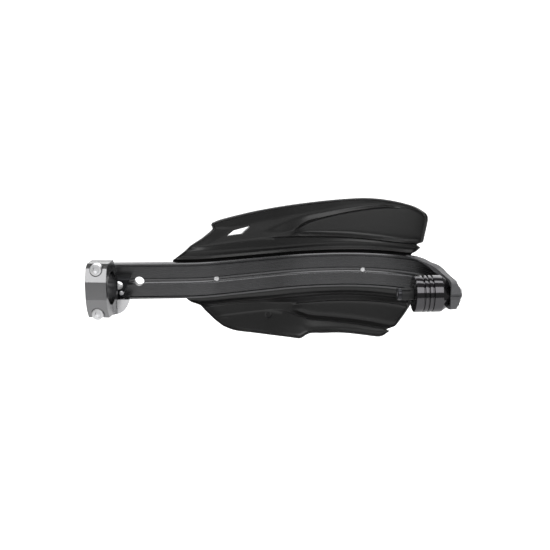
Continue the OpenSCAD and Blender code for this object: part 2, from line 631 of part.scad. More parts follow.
module lug() {
    intersection() {
        translate([0, 0, lug_bottom - eps]) linear_extrude(lug_top - lug_bottom + eps) union() {
            translate([pivot_x, pivot_y]) circle(lug_r);
            translate([pivot_x - lug_r, lug_root_y]) square([2 * lug_r, pivot_y - lug_root_y]);
            translate([pivot_x, lug_root_y]) square([lug_side, pivot_y - lug_root_y]);
        }
        translate([0, clamp_y, 0]) along_y(2 * over) intersection() {
            translate([pivot_x - over, lug_bottom]) square([over + lug_side, over]);
            union() {
                translate([pivot_x + lug_side - lug_round, lug_top]) circle(lug_round);
                translate([pivot_x - over, lug_bottom - over])
                    square([over + lug_side - lug_round, 2 * over]);
            }
        }
    }
}

module clamp_body() {
    color([0.1, 0.1, 0.11])
    difference() {
        union() {
            in_clamp() translate([-clamp_l / 2, 0, 0]) along_x(clamp_l) clamp_section(FAR);
            lug();
        }
        in_clamp() clamp_bolt_holes(bolt_d + 2 * pin_gap);
        translate([pivot_x, pivot_y, lug_bottom - over]) cylinder(d = pivot_d + 2 * pin_gap, h = 2 * over);
    }
}

module clamp_bolt(z) {
    color([0.78, 0.79, 0.8])
    in_clamp() translate([0, bolt_seat, z]) rotate([-90, 0, 0])
        socket_screw(bolt_d, bolt_reach - bolt_seat, bolt_head_d, bolt_head_l, 5);
}

module clamp_bolt_upper() { clamp_bolt(bolt_pitch / 2); }
module clamp_bolt_lower() { clamp_bolt(-bolt_pitch / 2); }

// The swivel link

link_x0 = pivot_x - 11;
link_hole_x = -254.3;
link_hole_z = -1;
spare_hole_x = -237.3;
link_screw_d = 4;
LINK_SCREWS = [[-252.2, -8], [pivot_x - 7.4, 0]];
link_tip = 0.8;

module pivot_link() {
    color([0.12, 0.12, 0.13])
    difference() {
        union() {
            translate([0, path_end[1] - link_t, 0]) along_y(link_t)
                polygon([[link_x0, -link_bottom], [pivot_x + 12, -link_bottom], [pivot_x + 20.5, link_top],
                         [link_x0, link_top]]);
            translate([pivot_x, pivot_y, -link_bottom])
                cylinder(r = lug_r - 0.6, h = link_top + link_bottom);
        }
        translate([pivot_x, pivot_y, -over]) cylinder(d = pivot_d + 2 * pin_gap, h = 2 * over);
        drill_root(link_hole_x, link_hole_z, link_hole_d);
        for (p = LINK_SCREWS) drill_root(p[0], p[1], link_screw_d + 2 * pin_gap);
    }
}

// Goes in from the backbone's front; its rounded tip shows in the link's near face
module link_screw(p) {
    color([0.7, 0.71, 0.73])
    translate([p[0], path_end[1] + bar_t, p[1]]) rotate([90, 0, 0])
        socket_screw(link_screw_d, bar_t + link_t + link_tip, link_screw_d * 1.8, link_screw_d * 0.6, 2.5);
}

module link_screw_lower() { link_screw(LINK_SCREWS[0]); }
module link_screw_hidden() { link_screw(LINK_SCREWS[1]); }

pivot_washer_d = 12;
pivot_nut_af = 10;
pivot_nut_l = 5;
pivot_head_l = 3.4;
pivot_washer_z = link_top + face_gap;
pivot_nut_z = pivot_washer_z + washer_t;

module swivel_bolt() {
    color([0.7, 0.71, 0.73])
    translate([pivot_x, pivot_y, lug_bottom - washer_t])
        socket_screw(pivot_d, pivot_nut_z + pivot_nut_l + 1 - lug_bottom + washer_t, 10.5, pivot_head_l, 4);
}

module swivel_washer_bottom() {
    color([0.7, 0.71, 0.73])
    translate([pivot_x, pivot_y, lug_bottom - washer_t])
        washer(pivot_washer_d, pivot_d + hole_gap, washer_t);
}

module swivel_washer_top() {
    color([0.7, 0.71, 0.73])
    translate([pivot_x, pivot_y, pivot_washer_z]) washer(pivot_washer_d, pivot_d + hole_gap, washer_t);
}

module swivel_nut() {
    color([0.7, 0.71, 0.73])
    translate([pivot_x, pivot_y, pivot_nut_z]) difference() {
        cylinder(d = pivot_nut_af / cos(30), h = pivot_nut_l, $fn = 6);
        translate([0, 0, -eps]) cylinder(d = pivot_d + 2 * pin_gap, h = pivot_nut_l + 2 * eps);
    }
}

backbone_bar();
wing_shield();
end_guard();
bar_end_weight();
expander_sleeve();
expander_cone();
bar_end_bolt();
bar_end_washer();
shield_screw_outer();
shield_screw_inner();
shield_washer_outer();
shield_washer_inner();
clamp_body();
clamp_cap();
clamp_bolt_upper();
clamp_bolt_lower();
pivot_link();
swivel_bolt();
swivel_nut();
swivel_washer_top();
swivel_washer_bottom();
link_screw_lower();
link_screw_hidden();
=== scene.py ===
"""A motorcycle hand guard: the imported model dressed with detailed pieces, finishes and a studio."""

import math
from collections import namedtuple

import bmesh
import bpy
from bpy.props import FloatProperty, FloatVectorProperty, PointerProperty
from mathutils import Matrix, Vector


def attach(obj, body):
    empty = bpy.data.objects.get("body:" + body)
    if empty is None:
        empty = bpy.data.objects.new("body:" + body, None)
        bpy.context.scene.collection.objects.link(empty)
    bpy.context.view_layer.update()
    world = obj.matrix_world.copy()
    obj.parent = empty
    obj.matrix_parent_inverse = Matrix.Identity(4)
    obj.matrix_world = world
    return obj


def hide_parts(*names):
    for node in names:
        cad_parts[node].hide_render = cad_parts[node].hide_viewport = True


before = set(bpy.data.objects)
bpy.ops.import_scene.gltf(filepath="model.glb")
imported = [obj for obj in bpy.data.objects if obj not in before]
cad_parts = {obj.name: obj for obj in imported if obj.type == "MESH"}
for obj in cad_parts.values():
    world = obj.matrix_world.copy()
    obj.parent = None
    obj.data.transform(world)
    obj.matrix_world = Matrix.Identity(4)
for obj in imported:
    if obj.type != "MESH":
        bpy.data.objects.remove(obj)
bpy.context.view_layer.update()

bl_info = {
    "name": "Motorcycle hand guard",
    "version": (1, 0, 0),
    "blender": (4, 5, 0),
    "location": "3D View > Sidebar > Hand guard",
    "description": "Detailed pieces, finishes and studio for the packed hand guard",
    "category": "Object",
}

# Shapes are worked out in millimetres and turned to metres when a piece is kept.
MM = 0.001
# Turns that point a piece made along Z along X or against it
TO_X = Matrix.Rotation(math.pi / 2, 4, "Y")
TO_MINUS_X = Matrix.Rotation(-math.pi / 2, 4, "Y")


def linear(code):
    """Linear RGB from an sRGB hex value."""
    parts = [int(code[i:i + 2], 16) / 255 for i in (1, 3, 5)]
    return tuple(c / 12.92 if c <= 0.04045 else ((c + 0.055) / 1.055) ** 2.4 for c in parts)


def mix(a, b, t):
    """The value at share t of the way from a to b."""
    return a + (b - a) * t


def ease(t):
    """Share from 0 to 1 that starts and stops softly."""
    t = max(0.0, min(1.0, t))
    return t * t * (3 - 2 * t)


# Rear face of the tab at the bar end, and the nose's end, where the path starts
TAB_X = 29
NOSE_Y = -14
# The backbone's path along its rear face, from the nose's end to the root: (length, 0) or (radius, turn)
PATH = [(53, 0), (48, 55), (100, 35), (170, 21), (61, 0), (80, -21), (82, 0)]
# The end guard's wall round the nose's end, behind which the bar starts
NOSE_WALL = 3
# The cutters reach this far past what they cut
OVER = 30


def stretch_length(length, turn):
    """Length along a stretch of the path."""
    return length * math.radians(abs(turn)) if turn else length


def place(s):
    """Position and heading at distance s along the backbone's rear face."""
    x, y, heading = TAB_X, NOSE_Y, 90
    for k, (length, turn) in enumerate(PATH):
        run = stretch_length(length, turn)
        d = s if k == len(PATH) - 1 else min(s, run)
        h = math.radians(heading)
        if turn:
            side = math.copysign(1, turn)
            x -= side * length * math.sin(h)
            y += side * length * math.cos(h)
            heading += side * math.degrees(d / length)
            h = math.radians(heading)
            x += side * length * math.sin(h)
            y -= side * length * math.cos(h)
        else:
            x += d * math.cos(h)
            y += d * math.sin(h)
        s -= run
        if s <= 0:
            break
    return x, y, heading


def at(s, u, z):
    """Point at distance s along the path, u outward from the rear face, at height z."""
    x, y, heading = place(s)
    h = math.radians(heading)
    return Vector((x + u * math.sin(h), y - u * math.cos(h), z))


def on_bar(s, z=0):
    """Matrix to a place on the backbone: +X outward from the rear face, +Y back along the path."""
    x, y, heading = place(s)
    return Matrix.Translation((x, y, z)) @ Matrix.Rotation(math.radians(heading - 90), 4, "Z")


def path_stations(step):
    """Distances along the path, one for each small turn in a bend."""
    found = [NOSE_WALL]
    s = 0.0
    for k, (length, turn) in enumerate(PATH):
        run = stretch_length(length, turn)
        count = math.ceil(abs(turn) / step) if turn else 1
        if k:
            found += [s + run * i / count for i in range(count)]
        s += run
    return found + [s]


PATH_END_S = sum(stretch_length(*g) for g in PATH)
PATH_END = place(PATH_END_S)
BEND_END_S = stretch_length(*PATH[0]) + stretch_length(*PATH[1])


def curve(points, s):
    """Smooth curve through points that run in rising s."""
    i = 0
    while i < len(points) - 2 and s >= points[i + 1][0]:
        i += 1

    def tangent(j):
        a, b = max(j - 1, 0), min(j + 1, len(points) - 1)
        return (points[b][1] - points[a][1]) / (points[b][0] - points[a][0])

    width = points[i + 1][0] - points[i][0]
    t = (s - points[i][0]) / width
    return (points[i][1] * (1 + 2 * t) * (1 - t) ** 2 + tangent(i) * width * t * (1 - t) ** 2
            + points[i + 1][1] * t * t * (3 - 2 * t) + tangent(i + 1) * width * t * t * (t - 1))


def flat_face(points):
    """A bmesh with one face on the given corners."""
    bm = bmesh.new()
    bm.faces.new([bm.verts.new(p) for p in points])
    return bm


def round_corners(bm, radii, segments=3):
    """Rounds corners of a flat face; radii maps a corner's number to its radius."""
    bm.verts.ensure_lookup_table()
    corners = [(bm.verts[i], radius) for i, radius in radii.items()]
    for corner, radius in corners:
        bmesh.ops.bevel(bm, geom=[corner], offset=radius, offset_type="OFFSET", affect="VERTICES",
                        segments=segments, profile=0.5, material=-1)


def prism(points, along, radii=None):
    """Solid with a flat outline, extruded along a vector."""
    bm = flat_face(points)
    round_corners(bm, radii or {})
    grown = bmesh.ops.extrude_face_region(bm, geom=bm.faces[:])
    ends = [v for v in grown["geom"] if isinstance(v, bmesh.types.BMVert)]
    bmesh.ops.translate(bm, verts=ends, vec=along)
    bmesh.ops.recalc_face_normals(bm, faces=bm.faces[:])
    return bm


def turned(points, radii=None, steps=64):
    """Solid turned about Z from an outline of (radius, height) points."""
    bm = flat_face([(r, 0, z) for r, z in points])
    round_corners(bm, radii or {})
    bmesh.ops.delete(bm, geom=bm.faces[:], context="FACES_ONLY")
    axis_edges = [e for e in bm.edges if all(v.co.x < 1e-6 for v in e.verts)]
    bmesh.ops.delete(bm, geom=axis_edges, context="EDGES")
    bmesh.ops.spin(bm, geom=bm.verts[:] + bm.edges[:], cent=(0, 0, 0), axis=(0, 0, 1),
                   dvec=(0, 0, 0), angle=2 * math.pi, steps=steps, use_merge=True)
    bmesh.ops.remove_doubles(bm, verts=bm.verts[:], dist=1e-4)
    bmesh.ops.recalc_face_normals(bm, faces=bm.faces[:])
    return bm


def extruded(corners, stations, point):
    """Solid whose flat section runs through the stations; point(corner, s) places its corners."""
    bm = bmesh.new()
    corner = bm.verts.layers.int.new("corner")
    first = []
    for i in range(corners):
        v = bm.verts.new(point(i, stations[0]))
        v[corner] = i
        first.append(v)
    ends = [bm.faces.new(first)]
    for a, b in zip(stations, stations[1:]):
        grown = bmesh.ops.extrude_face_region(bm, geom=ends)["geom"]
        for v in grown:
            if isinstance(v, bmesh.types.BMVert):
                v.co = point(v[corner], b)
        if a != stations[0]:
            bmesh.ops.delete(bm, geom=[f for f in ends if f.is_valid], context="FACES_ONLY")
        ends = [f for f in grown if isinstance(f, bmesh.types.BMFace)]
    bmesh.ops.recalc_face_normals(bm, faces=bm.faces[:])
    return bm


def moved(bm, matrix):
    """The bmesh itself, moved by a matrix."""
    bmesh.ops.transform(bm, matrix=matrix, verts=bm.verts[:])
    return bm


def rod(start, direction, diameter, length, segments=48):
    """A plain cylinder used as a cutter."""
    bm = bmesh.new()
    bmesh.ops.create_cone(bm, cap_ends=True, segments=segments, radius1=diameter / 2,
                          radius2=diameter / 2, depth=length,
                          matrix=Matrix.Translation((0, 0, length / 2)))
    turn = Vector(direction).to_track_quat("Z", "Y").to_matrix().to_4x4()
    return moved(bm, Matrix.Translation(start) @ turn)


def block(low, high):
    """A plain box used as a cutter."""
    low, high = Vector(low), Vector(high)
    bm = bmesh.new()
    bmesh.ops.create_cube(bm, size=1, matrix=Matrix.Translation((low + high) / 2)
                          @ Matrix.Diagonal((*(high - low), 1)))
    return bm


def shown(bm, name):
    """An object in the scene that holds a bmesh, which is freed."""
    mesh = bpy.data.meshes.new(name)
    bm.to_mesh(mesh)
    bm.free()
    obj = bpy.data.objects.new(name, mesh)
    bpy.context.scene.collection.objects.link(obj)
    return obj


def discard(obj):
    """Removes an object and its mesh."""
    mesh = obj.data
    bpy.data.objects.remove(obj)
    bpy.data.meshes.remove(mesh)


def worked(bm, change):
    """The mesh after the modifiers that change() gives to its object."""
    obj = shown(bm, "work")
    change(obj)
    result = bmesh.new()
    result.from_object(obj, bpy.context.evaluated_depsgraph_get())
    discard(obj)
    return result


def carved(bm, tools, operation="DIFFERENCE"):
    """Cuts the tools out of a solid, or joins or intersects it with them."""
    cutters = [shown(tool, "cutter") for tool in tools]

    def change(obj):
        for cutter in cutters:
            cut = obj.modifiers.new("Cut", "BOOLEAN")
            cut.operation = operation
            cut.solver = "EXACT"
            cut.object = cutter

    result = worked(bm, change)
    for cutter in cutters:
        discard(cutter)
    return result


def gathered(*parts):
    """Several bmeshes in one."""
    total = bmesh.new()
    for part in parts:
        mesh = bpy.data.meshes.new("part")
        part.to_mesh(mesh)
        part.free()
        total.from_mesh(mesh)
        bpy.data.meshes.remove(mesh)
    return total


def cad_copy(node):
    """A merged copy of a CAD node, in millimetres."""
    bm = bmesh.new()
    bm.from_mesh(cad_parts[node].data)
    bmesh.ops.scale(bm, vec=(1 / MM,) * 3, verts=bm.verts[:])
    bmesh.ops.remove_doubles(bm, verts=bm.verts[:], dist=0.002)
    bmesh.ops.dissolve_limit(bm, angle_limit=math.radians(0.5), verts=bm.verts[:], edges=bm.edges[:])
    return bm


def keep(bm, name, body, finish, nodes=(), edge=0.0, sharp=30):
    """Keeps a bmesh as a finished piece: in metres, at the origin, riding on its body."""
    bmesh.ops.scale(bm, vec=(MM,) * 3, verts=bm.verts[:])
    piece = shown(bm, name)
    piece.data.materials.clear()
    piece.data.materials.append(finish)
    piece.data.shade_smooth()
    piece.data.set_sharp_from_angle(angle=math.radians(sharp))
    if edge:
        bevel = piece.modifiers.new("Edge", "BEVEL")
        bevel.width = edge * MM
        bevel.segments = 2
        bevel.limit_method = "ANGLE"
        bevel.angle_limit = math.radians(sharp)
        bevel.use_clamp_overlap = True
        bevel.harden_normals = True
    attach(piece, body)
    if nodes:
        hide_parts(*nodes)
    return piece


def add_node(tree, kind, inputs=None, settings=None):
    """Adds a node; an input is a plain value or the (node, output) that it is linked to."""
    node = tree.nodes.new(kind)
    for name, value in (settings or {}).items():
        setattr(node, name, value)
    for name, value in (inputs or {}).items():
        if isinstance(value, tuple) and isinstance(value[0], bpy.types.Node):
            tree.links.new(value[0].outputs[value[1]], node.inputs[name])
        else:
            node.inputs[name].default_value = value
    return node


def new_material(name):
    """An empty node material and its tree."""
    material = bpy.data.materials.new(name)
    material.use_nodes = True
    material.node_tree.nodes.clear()
    return material, material.node_tree


def close_material(material, tree, shader):
    """Links the shader to the material's output."""
    add_node(tree, "ShaderNodeOutputMaterial", {"Surface": (shader, 0)})
    return material


def rgba(colour, gain=1.0):
    return (*[min(1.0, c * gain) for c in colour], 1.0)


# Most of a noise's values lie in this range
NOISE_LOW, NOISE_HIGH = 0.3, 0.7


def surface(name, colour, grain, stretch=None, cloud=None, tint=None, rough=None, bump=None, **shader):
    """A material whose roughness and bump follow a fine grain.

    colour names one of the scene's colours, and tint holds the gains that it goes between, after the
    grain or after a broader cloud. grain and cloud hold a noise's inputs, and stretch draws the grain
    out into lines. rough is the lowest and highest roughness, and bump its strength and height.
    """
    colour = getattr(bpy.context.scene.guard_colours, colour)
    material, tree = new_material(name)
    where = (add_node(tree, "ShaderNodeTexCoord"), "Object")
    drawn = where
    if stretch:
        drawn = (add_node(tree, "ShaderNodeMapping", {"Vector": where, "Scale": stretch}), 0)
    fine = (add_node(tree, "ShaderNodeTexNoise", {"Vector": drawn, **grain}), "Fac")
    shader["Base Color"] = rgba(colour)
    if tint:
        broad = fine
        if cloud:
            broad = (add_node(tree, "ShaderNodeTexNoise", {"Vector": where, **cloud}), "Fac")
        shades = {0: broad, 6: rgba(colour, tint[0]), 7: rgba(colour, tint[1])}
        shader["Base Color"] = (add_node(tree, "ShaderNodeMix", shades, {"data_type": "RGBA"}), 2)
    if rough:
        spread = {"Value": fine, "From Min": NOISE_LOW, "From Max": NOISE_HIGH, "To Min": rough[0],
                  "To Max": rough[1]}
        shader["Roughness"] = (add_node(tree, "ShaderNodeMapRange", spread), 0)
    if bump:
        raised = {"Height": fine, "Strength": bump[0], "Distance": bump[1]}
        shader["Normal"] = (add_node(tree, "ShaderNodeBump", raised), 0)
    return close_material(material, tree, add_node(tree, "ShaderNodeBsdfPrincipled", shader))


# Black anodised aluminium, extruded: a dark metal sheen with fine die lines along the bar.
# Real die lines are some 0.1 mm apart; they are drawn 0.8 mm apart so that they show.
def extruded_aluminium():
    return surface("black_anodised_extrusion", "bar", {"Scale": 1 / 0.0008, "Detail": 3.0, "Roughness": 0.6},
                   stretch=(0.012, 0.012, 1), cloud={"Scale": 1 / 0.02, "Detail": 2.0}, tint=(0.9, 1.15),
                   rough=(0.24, 0.33), bump=(0.12, 0.0001), Metallic=1.0)


# Black anodised aluminium, machined: smooth, nearly glossy faces with a faint mottle.
def machined_aluminium():
    return anodised("black_anodised_machined", "clamp", (0.17, 0.24), 0.03)


# Black anodised aluminium, tumbled before it was dyed: satin faces. Its colour is the link's own black,
# darkened further as painted shade for the link's face, which sits in the clamp's shade.
def satin_aluminium_painted_shade():
    return anodised("black_anodised_satin", "link", (0.3, 0.38), 0.05)


def anodised(name, colour, rough, bumps):
    """Dyed aluminium with a grain of about 1 mm and a faint mottle in its colour."""
    return surface(name, colour, {"Scale": 1 / 0.0012, "Detail": 4.0},
                   cloud={"Scale": 1 / 0.012, "Detail": 2.0}, tint=(0.94, 1.06), rough=rough,
                   bump=(bumps, 0.0001), Metallic=1.0)


# Black anodised weight, turned: a near mirror with faint tool lines round it.
# The tool's feed is about 0.1 mm a turn; the lines are drawn 0.5 mm apart so that they show.
def turned_weight():
    return surface("gloss_black_turned", "weight", {"Scale": 1 / 0.0005, "Detail": 2.0},
                   stretch=(1, 0.01, 0.01), rough=(0.07, 0.13), bump=(0.05, 0.00005), Metallic=1.0)


# Polypropylene, injection moulded in a lightly eroded tool: satin black with a fine grain.
# The grain is 0.2 mm; it is drawn at 0.7 mm so that it shows.
def moulded_plastic():
    return surface("satin_black_moulded", "shield", {"Scale": 1 / 0.0007, "Detail": 3.0, "Roughness": 0.6},
                   cloud={"Scale": 1 / 0.03, "Detail": 2.0}, tint=(0.9, 1.12), rough=(0.3, 0.38),
                   bump=(0.22, 0.00012), IOR=1.49)


# Nylon, moulded in a coarsely eroded tool: dull dark grey with a leathery grain of about 1 mm.
def grained_nylon():
    colour = bpy.context.scene.guard_colours.guard
    material, tree = new_material("dark_grey_grained_nylon")
    where = (add_node(tree, "ShaderNodeTexCoord"), "Object")
    grain = add_node(tree, "ShaderNodeTexVoronoi", {"Vector": where, "Scale": 1 / 0.0011, "Smoothness": 0.6},
                     {"feature": "SMOOTH_F1"})
    fine = add_node(tree, "ShaderNodeTexNoise", {"Vector": where, "Scale": 1 / 0.0005, "Detail": 3.0})
    height = add_node(tree, "ShaderNodeMath", {0: (grain, "Distance"), 1: (fine, "Fac")},
                      {"operation": "ADD"})
    tint = add_node(tree, "ShaderNodeMix",
                    {0: (grain, "Distance"), 6: rgba(colour, 0.85), 7: rgba(colour, 1.25)},
                    {"data_type": "RGBA"})
    bump = add_node(tree, "ShaderNodeBump", {"Height": (height, 0), "Strength": 0.35, "Distance": 0.0002})
    shader = add_node(tree, "ShaderNodeBsdfPrincipled",
                      {"Base Color": (tint, 2), "Roughness": 0.58, "IOR": 1.53, "Normal": (bump, 0)})
    return close_material(material, tree, shader)


# Steel with bright zinc plate: silvery white, softly mottled by its crystals.
# The crystals are far finer than the mottle of 0.8 mm, which is drawn so that it shows.
def zinc_plate():
    return surface("bright_zinc_plate", "zinc", {"Scale": 1 / 0.0008, "Detail": 3.0}, tint=(0.85, 1.1),
                   rough=(0.36, 0.5), Metallic=1.0)


# Black rubber sleeve, moulded: matte, with a dusty fine grain.
def black_rubber():
    return surface("black_rubber", "rubber", {"Scale": 1 / 0.0006, "Detail": 4.0}, tint=(0.8, 1.3),
                   bump=(0.2, 0.0001), Roughness=0.6)


# Aluminium cone nut, turned and dyed grey: satin metal with lines round it.
def grey_aluminium():
    return surface("grey_turned_aluminium", "cone", {"Scale": 1 / 0.0005, "Detail": 2.0},
                   stretch=(1, 0.02, 0.02), rough=(0.25, 0.38), Metallic=1.0)


MADE = {}


def finish(maker):
    """The material that a maker gives, made once."""
    if maker not in MADE:
        MADE[maker] = maker()
    return MADE[maker]


class GuardSizes(bpy.types.PropertyGroup):
    bar_height: FloatProperty(
        name="Bar height", description="Height of the backbone's extrusion", default=0.033, unit="LENGTH")
    bar_thickness: FloatProperty(
        name="Bar thickness", description="Thickness of the backbone's extrusion", default=0.008,
        unit="LENGTH")
    channel_width: FloatProperty(
        name="Channel width", description="Width of the channel along the backbone's rear face",
        default=0.0058, unit="LENGTH")
    channel_depth: FloatProperty(
        name="Channel depth", description="Depth of that channel", default=0.0016, unit="LENGTH")
    shield_wall: FloatProperty(
        name="Shield wall", description="Thickness of the moulded shield", default=0.0028, unit="LENGTH")
    rib_height: FloatProperty(
        name="Rib height", description="Height of the ribs that fan out over the wings", default=0.0022,
        unit="LENGTH")
    panel_depth: FloatProperty(
        name="Panel depth", description="Depth of the panels between the ribs", default=0.0016,
        unit="LENGTH")
    rim_height: FloatProperty(
        name="Rim height", description="Height of the bead round the shield", default=0.0012,
        unit="LENGTH")
    weight_diameter: FloatProperty(
        name="Weight diameter", description="Diameter of the bar end weight", default=0.0314,
        unit="LENGTH")
    edge_break: FloatProperty(
        name="Edge break", description="Width of the broken edges on the metal pieces", default=0.0003,
        unit="LENGTH")


class GuardColours(bpy.types.PropertyGroup):
    bar: FloatVectorProperty(
        name="Bar", description="Backbone's anodising", default=linear("#5B5B5C"), subtype="COLOR")
    clamp: FloatVectorProperty(
        name="Clamp", description="Clamp's anodising", default=linear("#868687"), subtype="COLOR")
    # The link's colour is its black anodising darkened further: painted shade for its face in the clamp's
    # shade
    link: FloatVectorProperty(
        name="Link", description="Swivel link's anodising", default=linear("#2E2E30"), subtype="COLOR")
    weight: FloatVectorProperty(
        name="Weight", description="Bar end weight", default=linear("#545355"), subtype="COLOR")
    shield: FloatVectorProperty(
        name="Shield", description="Shield's plastic", default=linear("#191919"), subtype="COLOR")
    guard: FloatVectorProperty(
        name="End guard", description="End guard's plastic", default=linear("#5C5C5E"), subtype="COLOR")
    zinc: FloatVectorProperty(
        name="Zinc", description="Plate on the screws, washers and nut", default=linear("#F4F4F6"),
        subtype="COLOR")
    rubber: FloatVectorProperty(
        name="Rubber", description="Expander's sleeve", default=linear("#151516"), subtype="COLOR")
    cone: FloatVectorProperty(
        name="Cone", description="Expander's cone nut", default=linear("#3C3C3F"), subtype="COLOR")


# The backbone

# The backbone tapers down to its end tab between these places along Y; the cut there spans TAPER_X
TAPER_Y = (place(62)[1], place(BEND_END_S)[1])
TAPER_X = (10, 50)
TAB_HEIGHT = 16
# The shield's screws along the path, and the link's screws as (x, z)
SCREW_S = (140, 284)
LINK_SCREWS = [(-252.2, -8), (-271.4, 0)]
# The open holes through the root, as (x, z, diameter)
OPEN_HOLES = [(-237.3, 0, 8.5), (-254.3, -1, 7.4)]
# The grooves and lips along the rear face's edges, as (u, z in from the edge)
LOWER_GROOVE = [(0, 3.8), (1.3, 3.6), (1.3, 2.4), (0.2, 1.6), (0.45, 0)]
UPPER_GROOVE = [(0, 3.4), (1.9, 3.3), (1.9, 1.7), (0, 1.1), (0.35, 0)]
BAR_CHAMFER = 1.5
# What a hole is wider than the screw through it, where it is clear and where it is threaded
CLEAR = 0.5
THREADED = 0.1

# A screw's diameter, its head's diameter and height, its key and its pitch
Screw = namedtuple("Screw", "d head_d head_l key pitch")
SHIELD_SCREW = Screw(d=5, head_d=9.5, head_l=2.8, key=3, pitch=0.8)
END_BOLT = Screw(d=6, head_d=10.5, head_l=3, key=4, pitch=1.0)
LINK_SCREW = Screw(d=4, head_d=7.2, head_l=2.4, key=2.5, pitch=0.7)
CLAMP_BOLT = Screw(d=6, head_d=10, head_l=6, key=5, pitch=1.0)
SWIVEL_BOLT = Screw(d=6, head_d=10.5, head_l=3.4, key=4, pitch=1.0)


def bar_half():
    """Half the height of the backbone's extrusion."""
    return bpy.context.scene.guard_sizes.bar_height / MM / 2


def hollow(half, deep, steps):
    """Points (u, z) of a round-bottomed groove about the middle, from its lower to its upper lip."""
    radius = (half * half + deep * deep) / (2 * deep)
    reach = math.asin(half / radius) if deep < half else math.pi - math.asin(half / radius)
    turns = [reach * (2 * i / steps - 1) for i in range(steps + 1)]
    return [(radius * math.cos(a) - radius + deep, radius * math.sin(a)) for a in turns]


def bar_section(half, thick, channel_half, channel_deep):
    """The extrusion's section as (u, z): channel and grooves on the rear, chamfers on the front."""
    front = [(thick - BAR_CHAMFER, half), (thick, half - BAR_CHAMFER)]
    lower = [(u, half - inward) for u, inward in LOWER_GROOVE] + front
    upper = [(u, half - inward) for u, inward in UPPER_GROOVE] + front
    return [(u, -z) for u, z in reversed(lower)] + hollow(channel_half, channel_deep, 12) + upper


class GUARD_OT_backbone(bpy.types.Operator):
    """Extrudes, bends and drills the alloy backbone"""
    bl_idname = "guard.backbone"
    bl_label = "Backbone"

    def execute(self, context):
        sizes = context.scene.guard_sizes
        half = bar_half()
        section = bar_section(half, sizes.bar_thickness / MM, sizes.channel_width / MM / 2,
                              sizes.channel_depth / MM)
        bm = extruded(len(section), path_stations(1.5), lambda i, s: at(s, *section[i]))
        tools = []
        for side in (-1, 1):
            outline = [(-OVER, TAB_HEIGHT / 2), (TAPER_Y[0], TAB_HEIGHT / 2), (TAPER_Y[1], half),
                       (TAPER_Y[1], OVER), (-OVER, OVER)]
            tools.append(prism([(TAPER_X[0], y, side * z) for y, z in outline],
                               (TAPER_X[1] - TAPER_X[0], 0, 0)))
        centre_x = PATH_END[0] + half
        corner = block((centre_x - OVER, PATH_END[1] - OVER, -OVER), (centre_x, PATH_END[1] + OVER, OVER))
        round_end = rod((centre_x, PATH_END[1] - 2 * OVER, 0), (0, 1, 0), 2 * half, 4 * OVER, 96)
        tools.append(carved(corner, [round_end]))
        for s in SCREW_S:
            outward = at(s, 1, 0) - at(s, 0, 0)
            tools.append(rod(at(s, -OVER / 3, 0), outward, SHIELD_SCREW.d + THREADED, OVER))
        tools.append(rod((TAB_X - 2, 0, 0), (1, 0, 0), END_BOLT.d + CLEAR, 12))
        for x, z, d in OPEN_HOLES + [(*screw, LINK_SCREW.d + CLEAR) for screw in LINK_SCREWS]:
            tools.append(rod((x, PATH_END[1] - OVER / 3, z), (0, 1, 0), d, OVER))
        bm = carved(bm, tools)
        keep(bm, "backbone", "guard", finish(extruded_aluminium), ["backbone_bar"],
             sizes.edge_break / MM)
        return {"FINISHED"}


# The shield

# The band along the backbone is flat; above and below it the wings curve back as a parabola
BAND_U = 8.3
BAND_HALF = 16.9
WING_CURVE = 0.0022
# Further out than BORDER_Z, a border along the wings' edges leans forward on the upper wing and back on
# the lower one; it sets in over BORDER_S along the path
BORDER_LEAN = 0.17
BORDER_WIDTH = 9.7
BORDER_Z = 26
BORDER_S = (150, 190)
# The upper wing's end is cut askew, and so is nearer by this share than it is along the path
END_SKEW = 0.56
# Where along the path the fan of ribs fades out, the ridge sets in and the panels end in a point
FAN_FULL, FAN_NONE = 212, 236
RUN_NONE, RUN_FULL = 100, 125
POINT_FROM, POINT_TO = 195, 208
# Stations along the shield, with this many at each end for the rim, and the rim's width and the wings' length
STATIONS = 60
RIM_STATIONS = 2
RIM_WIDTH = 2.4
WING_LENGTH = 210

